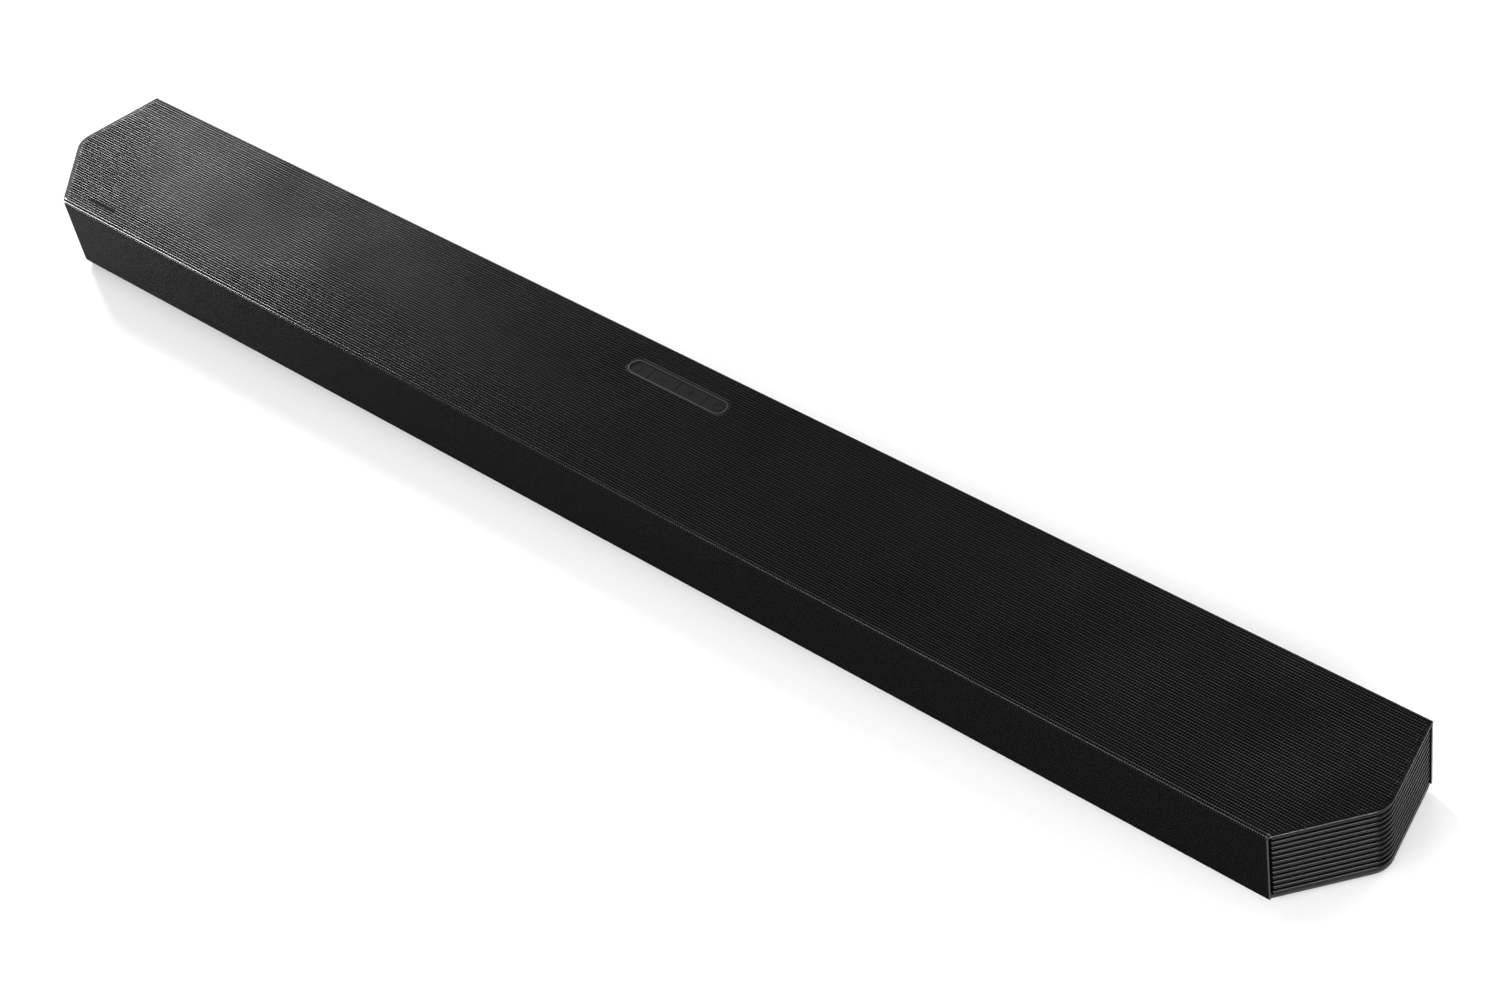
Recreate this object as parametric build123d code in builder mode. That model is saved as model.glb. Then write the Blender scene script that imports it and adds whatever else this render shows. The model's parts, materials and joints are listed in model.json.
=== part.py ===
"""A long soundbar: a bent perforated steel shell over a plastic case, with ribbed end grilles,
a four-key control strip, speaker drivers, boards and sockets.

Millimetres. The origin is on the surface that the feet stand on, under the middle of the bar.
+X runs to the right as a listener sees the bar, +Y runs from the front to the back, +Z is up.
"""
from build123d import *
from math import atan2, cos, radians, sin, tan
import os

# ---------------------------------------------------------------- driving dimensions

DEPTH = 120.0           # front of the shell to the back of the rear cover
HEIGHT = 60.4           # under the feet to the top of the shell
FOOT_HEIGHT = 4.4
REAR_PROUD = 2.0        # how far the rear cover stands out behind the shell
FRONT_HALF = 513.5      # half the length at the front edge
END_HALF = 556.7        # where an end's two facets would meet, before the corner is rounded
BACK_HALF = 543.0       # half the length at the back edge
END_SETBACK = 53.0      # from the front edge to the end corner
END_RADIUS = 18.0       # rounding of the end corner

SHEET = 1.0             # thickness of the perforated steel
BEND_RADIUS = 2.5       # outside radius of the bend along the front edge
CLOTH = 0.3             # acoustic cloth behind the sheet
WALL = 2.5              # plastic walls
AIR = 0.1               # fitting gap between neighbouring parts

RIB_COUNT = 12          # ribs of an end grille
RIB_PITCH = 4.37
RIB_HEIGHT = 2.9
RIB_DEPTH = 3.0         # nose of a rib to the wall behind it
RIB_INSET = 1.0         # nose of a rib to the edge of the shell above it
RIB_DROP = 3.6          # top of the shell to the middle of the top rib
POST_INSET = 0.2        # the post that closes the ribs' rear ends, from the edge of the shell
POST_LENGTH = 1.6

STRIP_Y = 33.5          # middle of the control strip
STRIP_LENGTH = 83.0     # outside of its rim
STRIP_WIDTH = 13.0
STRIP_RIM = 0.9
KEY_PITCH = 23.3
KEY_GAP = 0.3

BADGE_X = (-496.5, -469.6)
BADGE_Y = (-49.8, -46.1)
BADGE_THICK = 0.45

DRIVER_Z = 31.6         # height of the front drivers' axes
WOOFERS = {"left": -230.0, "centre": 0.0, "right": 230.0}
WOOFER_LENGTH = 100.0   # opening for a racetrack woofer
WOOFER_WIDTH = 40.0
TWEETER_X = (-152.0, 78.0, 152.0)
UPFIRING = {"left": -420.0, "right": 420.0}
UPFIRING_RADIUS = 32.0  # opening for an up-firing driver
PORT_X = 335.0
PORT_RADIUS = 13.0

BOARD = 1.6             # thickness of a circuit board
BOARD_Z = 10.5          # underside of the two large boards
MAIN_BOARD = ((45.0, 240.0), (-12.0, 26.2))
POWER_BOARD = ((-250.0, -90.0), (-12.0, 18.0))
SIGNAL_BAY = (60.0, 190.0)
POWER_BAY = (-190.0, -130.0)
BAY_FRONT = 30.0        # front wall of the two socket bays
BAY_ROOF = 30.0
INLET_X = -160.0
INLET_Z = 18.0

POSTS = [(-115, -40), (115, -40), (-320, -40), (320, -40), (-480, -38), (480, -38),
         (-480, 45), (480, 45), (-300, 48), (300, 48), (0, 48)]
INSERTS = [(-368, 42), (368, 42)]
FEET = [(-430, -40), (430, -40), (-430, 40), (430, 40)]
MAIN_BOARD_HOLES = [(52, -7), (233, -7), (66, 21), (233, 21)]
POWER_BOARD_HOLES = [(-245, -7), (-95, -7), (-245, 13), (-95, 13)]

# ---------------------------------------------------------------- worked-out sizes and places

Y_FRONT = -DEPTH / 2
Y_BACK = DEPTH / 2 - REAR_PROUD
Y_END = Y_FRONT + END_SETBACK
Z_FLOOR = FOOT_HEIGHT + WALL
Z_SHEET = HEIGHT - SHEET
Z_CLOTH = Z_SHEET - CLOTH
FRAME = 2.7
Z_FRAME = Z_CLOTH - FRAME
Y_SHEET = Y_FRONT + SHEET
Y_CLOTH = Y_SHEET + CLOTH
BAFFLE = 4.0
Y_BAFFLE = Y_CLOTH + 2 * AIR
Y_DRIVER = Y_BAFFLE + BAFFLE

FRONT_SLOPE = atan2(END_HALF - FRONT_HALF, Y_END - Y_FRONT)
BACK_SLOPE = atan2(END_HALF - BACK_HALF, Y_BACK - Y_END)
FLOOR_INSET = 1.4
GRILLE_WALL_INSET = RIB_INSET + RIB_DEPTH
CASE_INSET = GRILLE_WALL_INSET + WALL + 7 * AIR
Y_CASE_BACK = Y_BACK - FLOOR_INSET

BAFFLE_HALF = 504.0
CUT = 20.0              # how far a cutting shape runs past what it cuts
BOSS_RADIUS = 3.0
PILOT_RADIUS = 1.25     # screw pilots in the plastic
CLEARANCE_RADIUS = 1.35
HEAD_RADIUS = 2.6
HEAD_HEIGHT = 1.8
SCREW_BITE = 3.0        # depth of a short screw in plastic
BOARD_TOP = BOARD_Z + BOARD
BOARD_SCREW_END = BOARD_Z - SCREW_BITE

POST_RADIUS = 3.5
CASE_SCREW_RADIUS = 1.5
CASE_SCREW_TOP = 18.0
CASE_HEAD_RADIUS = 3.1
CASE_HEAD_TOP = FOOT_HEIGHT + 1.7
INSERT_RADIUS = 3.25
INSERT_BORE = 2.0
INSERT_LENGTH = 8.0
INSERT_TOP = FOOT_HEIGHT + INSERT_LENGTH
INSERT_BOSS = 5.0
PORT_WALL = 2.0
PORT_START = 12.0

PLATE_WINDOW_X = (68.0, 182.0)
PLATE_WINDOW_Z = (Z_FLOOR + 3.0, 27.0)
INLET_HALF_X = 13.0
INLET_HALF_Z = 9.0

KEY_LENGTH = STRIP_LENGTH - 2 * STRIP_RIM - 2 * KEY_GAP
KEY_WIDTH = STRIP_WIDTH - 2 * STRIP_RIM - 2 * KEY_GAP
KEY_TOP = HEIGHT - 0.8
KEY_THICK = 2.2
TRAY_BOTTOM = 52.0
TRAY_FLOOR = 1.5
STEM_RADIUS = 2.2
STEM_BOTTOM = 51.7
BUTTON_BOARD_Z = 46.0
BUTTON_BOARD_HALF = 55.0
BUTTON_POST_X = 51.0
BUTTON_SCREW_TOP = 54.0
SYMBOL_DEPTH = 0.25
SYMBOL_LINE = 0.8
SYMBOL_SIZE = 5.8       # length of the minus and plus bars
RING_RADIUS = 3.9

FLANGE = 2.0            # thickness of every driver's flange
SKIN = 0.8              # thickness of the cones
COIL_RADIUS = 10.3
UPFIRING_FLANGE = 37.0
UPFIRING_SCREW_RADIUS = 34.8
SIDE_RADIUS = 15.0
SIDE_DEPTH = 12.0
SIDE_COIL = 6.9
SIDE_GAP = 2.0          # round the cone's edge and inside the coil
SIDE_PLATE = 1.5        # the basket's back plate
SIDE_SLOT = 7.0         # depth of the magnet's slot for the coil
SIDE_MAGNET = 13.0      # radius of the magnet
SIDE_MAGNET_DEPTH = 10.0
SIDE_RIM = 0.5          # depths of the cone's rim, cap and neck below the flange
SIDE_CAP = 4.6
SIDE_NECK = 5.0
SIDE_COIL_REACH = 3.0   # how far the coil dips into the slot
WOOFER_FLANGE = (114.0, 47.0)
WOOFER_SCREWS = (105.0, 40.0)
TWEETER_DOME = 8.8
TWEETER_RISE = 4.5      # height of a dome
TWEETER_OPENING = 11.0
TWEETER_FLANGE = 18.0
TWEETER_SCREW = 15.2
UPFIRING_SCREW_TOP = Z_FRAME + 2.0
RIB_START = Y_FRONT + 2.8
REAR_Z = (5.4, 57.4)
KEY_X = [(place - 1.5) * KEY_PITCH for place in range(4)]
KEY_NAMES = ("button_source", "button_volume_down", "button_volume_up", "button_standby")
SOCKET_BASE = BOARD_TOP
VIDEO_X = (85.0, 115.0)
VIDEO_HALF_X = 7.5
VIDEO_HIGH = 5.6
VIDEO_DEEP = 12.0
VIDEO_WALL = 0.5
VIDEO_MOUTH = 9.0       # depth of the opening
VIDEO_TONGUE = (11.0, 1.2)
OPTICAL_X = 150.0
AMPLIFIER_X = (190.0, 222.0)
AMPLIFIER_TOP = BOARD_TOP + 2.0
MODULE_Z = BOARD_TOP + 3.0
RIBBON_SOCKET_X = (45.5, 54.5)
RIBBON_BOTTOM = BOARD_TOP + 3.0
HARNESS_RADIUS = 2.5
HARNESS_PLUG_Z = BOARD_TOP + 5.0


# ---------------------------------------------------------------- helpers


def block(x, y, z, mode=Mode.ADD):
    """A box given by its lowest and highest coordinate along each axis."""
    with Locations(((x[0] + x[1]) / 2, (y[0] + y[1]) / 2, (z[0] + z[1]) / 2)):
        Box(x[1] - x[0], y[1] - y[0], z[1] - z[0], mode=mode)


def rods(places, radius, z, mode=Mode.ADD):
    """Upright cylinders at some places, between two heights."""
    with Locations([(x, y, (z[0] + z[1]) / 2) for x, y in places]):
        Cylinder(radius, z[1] - z[0], mode=mode)


def screws_up(places, face, radius, length):
    """Pan-head screws put in from below: the heads hang under a face."""
    rods(places, HEAD_RADIUS, (face - HEAD_HEIGHT, face))
    rods(places, radius, (face, face + length))


def save(piece, name):
    """Labels a finished piece and writes its file."""
    piece.part.label = name
    export_step(piece.part, f"parts/{name}.step")


def inset_corners(end, front, back):
    """The three right-hand corners of the outline, with its ends, front and back drawn in."""
    front_x = FRONT_HALF + front * tan(FRONT_SLOPE) - end / cos(FRONT_SLOPE)
    back_x = BACK_HALF + back * tan(BACK_SLOPE) - end / cos(BACK_SLOPE)
    spread = sin(FRONT_SLOPE + BACK_SLOPE)
    middle_x = END_HALF - end * (sin(FRONT_SLOPE) + sin(BACK_SLOPE)) / spread
    middle_y = Y_END - end * (cos(FRONT_SLOPE) - cos(BACK_SLOPE)) / spread
    return [(front_x, Y_FRONT + front), (middle_x, middle_y), (back_x, Y_BACK - back)]


def casing_plan(height, end=0.0, front=0.0, back=0.0):
    """The bar's outline from above, drawn in by the given amounts, as a face at a height."""
    half = inset_corners(end, front, back)
    with BuildSketch(Plane.XY.offset(height)) as plan:
        with BuildLine():
            Polyline(*half, *[(-x, y) for x, y in reversed(half)], close=True)
        make_face()
        columns = plan.vertices().group_by(Axis.X)
        fillet(columns[0] + columns[-1], radius=END_RADIUS - end)
    return plan.sketch


def strip_plan(height, length, width):
    """A stadium in the control strip's place, as a face at a height."""
    with BuildSketch(Plane.XY.offset(height)) as plan:
        with Locations((0, STRIP_Y)):
            SlotOverall(length, width)
    return plan.sketch


def front_plane(x, y):
    """A plane across the bar's depth at a front driver's axis: its X is +X and its Y is +Z."""
    return Plane(origin=(x, y, DRIVER_Z), x_dir=(1, 0, 0), z_dir=(0, -1, 0))


def facet_plane(inset):
    """A plane on the middle of the right end's front facet, drawn in, with its Z pointing inward."""
    middle_x = (FRONT_HALF + END_HALF) / 2 - inset * cos(FRONT_SLOPE)
    middle_y = (Y_FRONT + Y_END) / 2 + inset * sin(FRONT_SLOPE)
    inward = (-cos(FRONT_SLOPE), sin(FRONT_SLOPE), 0)
    return Plane(origin=(middle_x, middle_y, DRIVER_Z), x_dir=(0, 0, 1), z_dir=inward)


def upfiring_screw_places():
    """Where the up-firing drivers' screws stand."""
    arm = UPFIRING_SCREW_RADIUS * cos(radians(45))
    return [(x + sx * arm, sy * arm) for x in UPFIRING.values() for sx in (-1, 1) for sy in (-1, 1)]


def front_screw_places():
    """Where the front drivers' screws stand, as (x, z)."""
    half_x = WOOFER_SCREWS[0] / 2
    half_z = WOOFER_SCREWS[1] / 2
    woofers = [(x + sx * half_x, DRIVER_Z + sz * half_z)
               for x in WOOFERS.values() for sx in (-1, 1) for sz in (-1, 1)]
    tweeters = [(x + sx * TWEETER_SCREW, DRIVER_Z) for x in TWEETER_X for sx in (-1, 1)]
    return woofers + tweeters


# ---------------------------------------------------------------- shell and casing


def grille_shell():
    """The steel sheet: the top, the bend and the front, with openings for strip and badge."""
    with BuildPart() as shell:
        with BuildSketch(Plane.YZ.offset(-END_HALF)) as profile:
            with BuildLine():
                Polyline((Y_FRONT, FOOT_HEIGHT), (Y_FRONT, HEIGHT), (Y_BACK, HEIGHT), (Y_BACK, Z_SHEET),
                         (Y_SHEET, Z_SHEET), (Y_SHEET, FOOT_HEIGHT), close=True)
            make_face()
            fillet(profile.vertices().sort_by_distance((Y_FRONT, HEIGHT))[0], BEND_RADIUS)
            fillet(profile.vertices().sort_by_distance((Y_SHEET, Z_SHEET))[0], BEND_RADIUS - SHEET)
        extrude(amount=2 * END_HALF)
        extrude(casing_plan(0), amount=HEIGHT + CUT, mode=Mode.INTERSECT)
        opening = strip_plan(Z_SHEET - AIR, STRIP_LENGTH + 2 * AIR, STRIP_WIDTH + 2 * AIR)
        extrude(opening, amount=CUT, mode=Mode.SUBTRACT)
        block(BADGE_X, BADGE_Y, (HEIGHT - BADGE_THICK, HEIGHT + CUT), mode=Mode.SUBTRACT)
    return shell


def badge_plate():
    """A blank plate set flush into the top sheet."""
    with BuildPart() as badge:
        block((BADGE_X[0] + AIR, BADGE_X[1] - AIR), (BADGE_Y[0] + AIR, BADGE_Y[1] - AIR),
              (HEIGHT - BADGE_THICK, HEIGHT))
        chamfer(badge.faces().sort_by(Axis.Z)[-1].edges(), length=0.12)
    return badge


def grille_cloth():
    """The cloth that lines the top and the front of the shell."""
    bend = Y_FRONT + BEND_RADIUS
    with BuildPart() as cloth:
        lining = casing_plan(Z_CLOTH, end=CASE_INSET, front=bend - Y_FRONT, back=FLOOR_INSET)
        extrude(lining, amount=CLOTH)
        opening = strip_plan(Z_CLOTH - AIR, STRIP_LENGTH + 2 * AIR, STRIP_WIDTH + 2 * AIR)
        extrude(opening, amount=CUT, mode=Mode.SUBTRACT)
        block((-BAFFLE_HALF, BAFFLE_HALF), (Y_SHEET, Y_CLOTH), (Z_FLOOR, HEIGHT - BEND_RADIUS))
    return cloth


def top_frame():
    """The carrier under the top sheet, with posts that the case screws pull down."""
    button_posts = [(-BUTTON_POST_X, STRIP_Y), (BUTTON_POST_X, STRIP_Y)]
    driver_places = [(x, 0) for x in UPFIRING.values()]
    with BuildPart() as frame:
        extrude(casing_plan(Z_FRAME, end=CASE_INSET, front=BEND_RADIUS, back=FLOOR_INSET), amount=FRAME)
        rods(driver_places, UPFIRING_RADIUS, (Z_FRAME - CUT, Z_CLOTH + CUT), mode=Mode.SUBTRACT)
        opening = strip_plan(Z_FRAME - AIR, STRIP_LENGTH + 2 * AIR, STRIP_WIDTH + 2 * AIR)
        extrude(opening, amount=CUT, mode=Mode.SUBTRACT)
        rods(POSTS, POST_RADIUS, (Z_FLOOR, Z_FRAME))
        rods(POSTS, CASE_SCREW_RADIUS, (Z_FLOOR - CUT, CASE_SCREW_TOP), mode=Mode.SUBTRACT)
        rods(button_posts, BOSS_RADIUS, (BUTTON_BOARD_Z + BOARD, Z_FRAME))
        rods(button_posts, PILOT_RADIUS, (BUTTON_BOARD_Z - CUT, BUTTON_SCREW_TOP), mode=Mode.SUBTRACT)
        rods(upfiring_screw_places(), PILOT_RADIUS, (Z_FRAME - CUT, UPFIRING_SCREW_TOP),
             mode=Mode.SUBTRACT)
    return frame


def bottom_case():
    """The tray: floor, rear and end walls, two socket bays, bosses and fixing holes."""
    with BuildPart() as case:
        extrude(casing_plan(FOOT_HEIGHT, FLOOR_INSET, FLOOR_INSET, FLOOR_INSET), amount=WALL)
        outer = casing_plan(Z_FLOOR, CASE_INSET, Y_DRIVER - Y_FRONT, FLOOR_INSET)
        extrude(outer, amount=Z_FRAME - Z_FLOOR)
        inner = casing_plan(Z_FLOOR, CASE_INSET + WALL, -CUT, FLOOR_INSET + WALL)
        extrude(inner, amount=Z_FRAME - Z_FLOOR, mode=Mode.SUBTRACT)
        for bay in (SIGNAL_BAY, POWER_BAY):
            block((bay[0] - WALL, bay[1] + WALL), (BAY_FRONT - WALL, Y_CASE_BACK),
                  (Z_FLOOR, BAY_ROOF + WALL))
            block(bay, (BAY_FRONT, DEPTH), (0, BAY_ROOF), mode=Mode.SUBTRACT)
        block(PLATE_WINDOW_X, (BAY_FRONT - CUT, BAY_FRONT + AIR), PLATE_WINDOW_Z, mode=Mode.SUBTRACT)
        block((INLET_X - INLET_HALF_X - AIR, INLET_X + INLET_HALF_X + AIR),
              (BAY_FRONT - WALL - AIR, BAY_FRONT + AIR),
              (INLET_Z - INLET_HALF_Z - AIR, INLET_Z + INLET_HALF_Z + AIR), mode=Mode.SUBTRACT)
        with BuildSketch(Plane.XZ.offset(-Y_CASE_BACK)):
            with Locations((-PORT_X, DRIVER_Z), (PORT_X, DRIVER_Z)):
                Circle(PORT_RADIUS + PORT_WALL + AIR)
        extrude(amount=CUT, both=True, mode=Mode.SUBTRACT)
        with BuildSketch(facet_plane(CASE_INSET + WALL)):
            Circle(SIDE_RADIUS)
        side_opening = extrude(amount=-CUT / 2, mode=Mode.SUBTRACT)
        mirror(side_opening, about=Plane.YZ, mode=Mode.SUBTRACT)
        bosses = MAIN_BOARD_HOLES + POWER_BOARD_HOLES
        rods(bosses, BOSS_RADIUS, (Z_FLOOR, BOARD_Z))
        rods(bosses, PILOT_RADIUS, (BOARD_SCREW_END, BOARD_Z + CUT), mode=Mode.SUBTRACT)
        rods(INSERTS, INSERT_BOSS, (Z_FLOOR, INSERT_TOP + 1.0))
        rods(INSERTS, INSERT_RADIUS, (0, INSERT_TOP), mode=Mode.SUBTRACT)
        rods(POSTS, CASE_SCREW_RADIUS, (0, Z_FLOOR + CUT), mode=Mode.SUBTRACT)
        rods(POSTS, CASE_HEAD_RADIUS + AIR, (0, CASE_HEAD_TOP), mode=Mode.SUBTRACT)
    return case


def rear_cover():
    """The back panel: a shallow pan with port mouths, cooling slots and the two bay cut-outs."""
    half = BACK_HALF - 8.0
    with BuildPart() as cover:
        with BuildSketch(Plane.XZ.offset(-Y_CASE_BACK)):
            with Locations((0, (REAR_Z[0] + REAR_Z[1]) / 2)):
                RectangleRounded(2 * half, REAR_Z[1] - REAR_Z[0], 3.0)
        extrude(amount=-(DEPTH / 2 - Y_CASE_BACK))
        fillet(cover.faces().sort_by(Axis.Y)[-1].edges(), radius=0.8)
        lip = 4.0
        block((-half + lip, half - lip), (Y_CASE_BACK, Y_BACK), (REAR_Z[0] + lip, REAR_Z[1] - lip),
              mode=Mode.SUBTRACT)
        with BuildSketch(Plane.XZ.offset(-Y_CASE_BACK)):
            with Locations((-PORT_X, DRIVER_Z), (PORT_X, DRIVER_Z)):
                Circle(PORT_RADIUS)
            with Locations((-20, DRIVER_Z + 8)):
                with GridLocations(7.0, 1.0, 22, 1):
                    SlotOverall(20.0, 2.4, rotation=90)
        extrude(amount=-CUT, mode=Mode.SUBTRACT)
        for bay in (SIGNAL_BAY, POWER_BAY):
            block(bay, (0, DEPTH), (0, BAY_ROOF), mode=Mode.SUBTRACT)
    return cover


def end_grille():
    """The right end's ribbed grille: one comb-shaped section swept round the rounded corner."""
    along = Vector(sin(FRONT_SLOPE), cos(FRONT_SLOPE), 0)
    outward = Vector(cos(FRONT_SLOPE), -sin(FRONT_SLOPE), 0)
    back_along = Vector(-sin(BACK_SLOPE), cos(BACK_SLOPE), 0)
    start = Vector(FRONT_HALF, Y_FRONT, 0) - along * CUT / 2
    finish = Vector(BACK_HALF, Y_BACK, 0) + back_along * CUT / 2
    with BuildPart() as post:
        extrude(casing_plan(Z_FLOOR, end=POST_INSET), amount=Z_SHEET - Z_FLOOR)
        extrude(casing_plan(Z_FLOOR, end=GRILLE_WALL_INSET + WALL / 2), amount=CUT + HEIGHT,
                mode=Mode.SUBTRACT)
        block((0, DEPTH * 6), (Y_BACK - POST_LENGTH, Y_BACK), (0, HEIGHT), mode=Mode.INTERSECT)
    with BuildPart() as grille:
        with BuildLine() as path:
            FilletPolyline(start, (END_HALF, Y_END, 0), finish, radius=END_RADIUS)
        with BuildSketch(Plane(origin=start, x_dir=outward, z_dir=-along)):
            with Locations((-GRILLE_WALL_INSET - WALL / 2, (Z_FLOOR + Z_SHEET) / 2)):
                Rectangle(WALL, Z_SHEET - Z_FLOOR)
            root = WALL - 2 * AIR
            middle = -RIB_INSET - (RIB_DEPTH + root) / 2
            heights = [HEIGHT - RIB_DROP - RIB_PITCH * rib for rib in range(RIB_COUNT)]
            with Locations([(middle, height) for height in heights]):
                SlotOverall(RIB_DEPTH + root, RIB_HEIGHT)
        sweep(path=path.wires()[0])
        block((0, DEPTH * 6), (Y_FRONT - CUT, RIB_START), (0, HEIGHT), mode=Mode.SUBTRACT)
        block((0, DEPTH * 6), (Y_BACK, Y_BACK + CUT), (0, HEIGHT), mode=Mode.SUBTRACT)
        with BuildSketch(facet_plane(GRILLE_WALL_INSET)):
            Rectangle(2 * SIDE_RADIUS + 8, 2 * SIDE_RADIUS + 6)
        extrude(amount=CUT / 2, mode=Mode.SUBTRACT)
        add(post.part)
    return grille


def front_baffle():
    """The board behind the front of the shell, which the front drivers screw to."""
    with BuildPart() as baffle:
        block((-BAFFLE_HALF, BAFFLE_HALF), (Y_BAFFLE, Y_DRIVER), (Z_FLOOR, Z_FRAME))
        with BuildSketch(Plane.XZ.offset(-Y_BAFFLE)):
            with Locations([(x, DRIVER_Z) for x in WOOFERS.values()]):
                SlotOverall(WOOFER_LENGTH, WOOFER_WIDTH)
            with Locations([(x, DRIVER_Z) for x in TWEETER_X]):
                Circle(TWEETER_OPENING)
        extrude(amount=-BAFFLE, mode=Mode.SUBTRACT)
        with BuildSketch(Plane.XZ.offset(-Y_DRIVER)):
            with Locations(front_screw_places()):
                Circle(PILOT_RADIUS)
        extrude(amount=SCREW_BITE, mode=Mode.SUBTRACT)
        corner_edges = baffle.edges().filter_by(Axis.Z).group_by(Axis.Y)[0]
        chamfer(corner_edges, length=1.0)
    return baffle


def rubber_feet():
    """Four stadium-shaped pads glued under the floor."""
    with BuildPart() as feet:
        with BuildSketch(Plane.XY):
            with Locations(FEET):
                SlotOverall(50.0, 12.0)
        extrude(amount=FOOT_HEIGHT)
        chamfer(feet.faces().group_by(Axis.Z)[0].edges(), length=0.8)
    return feet


# ---------------------------------------------------------------- control strip


def control_bezel():
    """The strip's rim and the tray under its keys, with a flange below the top frame."""
    inner_length = STRIP_LENGTH - 2 * STRIP_RIM
    inner_width = STRIP_WIDTH - 2 * STRIP_RIM
    with BuildPart() as bezel:
        extrude(strip_plan(TRAY_BOTTOM, STRIP_LENGTH, STRIP_WIDTH), amount=HEIGHT - TRAY_BOTTOM)
        fillet(bezel.faces().sort_by(Axis.Z)[-1].edges(), radius=0.3)
        with BuildSketch(Plane.XY.offset(Z_FRAME - 1.5)):
            with Locations((0, STRIP_Y)):
                RectangleRounded(94.0, 22.0, 3.0)
        extrude(amount=1.5)
        hollow = strip_plan(TRAY_BOTTOM + TRAY_FLOOR, inner_length, inner_width)
        extrude(hollow, amount=CUT, mode=Mode.SUBTRACT)
        rods([(x, STRIP_Y) for x in KEY_X], STEM_RADIUS + 0.5, (0, HEIGHT), mode=Mode.SUBTRACT)
    return bezel


def symbol_ring(x):
    """A circle."""
    with Locations((x, STRIP_Y)):
        Circle(RING_RADIUS)
        Circle(RING_RADIUS - SYMBOL_LINE, mode=Mode.SUBTRACT)


def symbol_minus(x):
    """A bar along the strip."""
    with Locations((x, STRIP_Y)):
        Rectangle(SYMBOL_SIZE, SYMBOL_LINE)


def symbol_plus(x):
    """Two crossed bars."""
    with Locations((x, STRIP_Y)):
        Rectangle(SYMBOL_SIZE, SYMBOL_LINE)
        Rectangle(SYMBOL_LINE, SYMBOL_SIZE)


def symbol_open_ring(x):
    """A circle that is open at the back, with a short bar in the opening."""
    gap = RING_RADIUS * 0.9
    with Locations((x, STRIP_Y)):
        Circle(RING_RADIUS)
        Circle(RING_RADIUS - SYMBOL_LINE, mode=Mode.SUBTRACT)
    with Locations((x, STRIP_Y + RING_RADIUS)):
        Rectangle(gap, RING_RADIUS, mode=Mode.SUBTRACT)
    with Locations((x, STRIP_Y + RING_RADIUS / 2)):
        Rectangle(SYMBOL_LINE, RING_RADIUS * 0.8)


def key(x, symbol):
    """One key of the strip, with its engraved symbol and the stem that presses its switch."""
    cell = KEY_PITCH - KEY_GAP
    outermost = abs(x) > KEY_PITCH
    width = cell + (CUT if outermost else 0)
    shift = (CUT / 2 if x > 0 else -CUT / 2) if outermost else 0
    with BuildPart() as button:
        extrude(strip_plan(KEY_TOP - KEY_THICK, KEY_LENGTH, KEY_WIDTH), amount=KEY_THICK)
        block((x + shift - width / 2, x + shift + width / 2),
              (STRIP_Y - CUT, STRIP_Y + CUT), (0, HEIGHT), mode=Mode.INTERSECT)
        fillet(button.faces().sort_by(Axis.Z)[-1].edges(), radius=0.2)
        rods([(x, STRIP_Y)], STEM_RADIUS, (STEM_BOTTOM, KEY_TOP - KEY_THICK))
        with BuildSketch(Plane.XY.offset(KEY_TOP - SYMBOL_DEPTH)):
            symbol(x)
        extrude(amount=CUT, mode=Mode.SUBTRACT)
    return button


def button_board():
    """The small board under the keys."""
    with BuildPart() as board:
        block((-BUTTON_BOARD_HALF, BUTTON_BOARD_HALF), (STRIP_Y - 10, STRIP_Y + 10),
              (BUTTON_BOARD_Z, BUTTON_BOARD_Z + BOARD))
        holes = [(-BUTTON_POST_X, STRIP_Y), (BUTTON_POST_X, STRIP_Y)]
        rods(holes, CLEARANCE_RADIUS, (0, HEIGHT), mode=Mode.SUBTRACT)
    return board


def tactile_switches():
    """Four square switches with round plungers."""
    base = BUTTON_BOARD_Z + BOARD
    with BuildPart() as switches:
        with Locations([(x, STRIP_Y, base + 1.2) for x in KEY_X]):
            Box(6.0, 6.0, 2.4)
        rods([(x, STRIP_Y) for x in KEY_X], 1.6, (base, base + 3.3))
    return switches


# ---------------------------------------------------------------- speaker drivers


def racetrack(x, y, margin):
    """A face shaped like a woofer's opening, drawn in by a margin, at x and y."""
    with BuildSketch(front_plane(x, y)) as face:
        SlotOverall(WOOFER_LENGTH - 2 * margin, WOOFER_WIDTH - 2 * margin)
    return face.sketch


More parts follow.
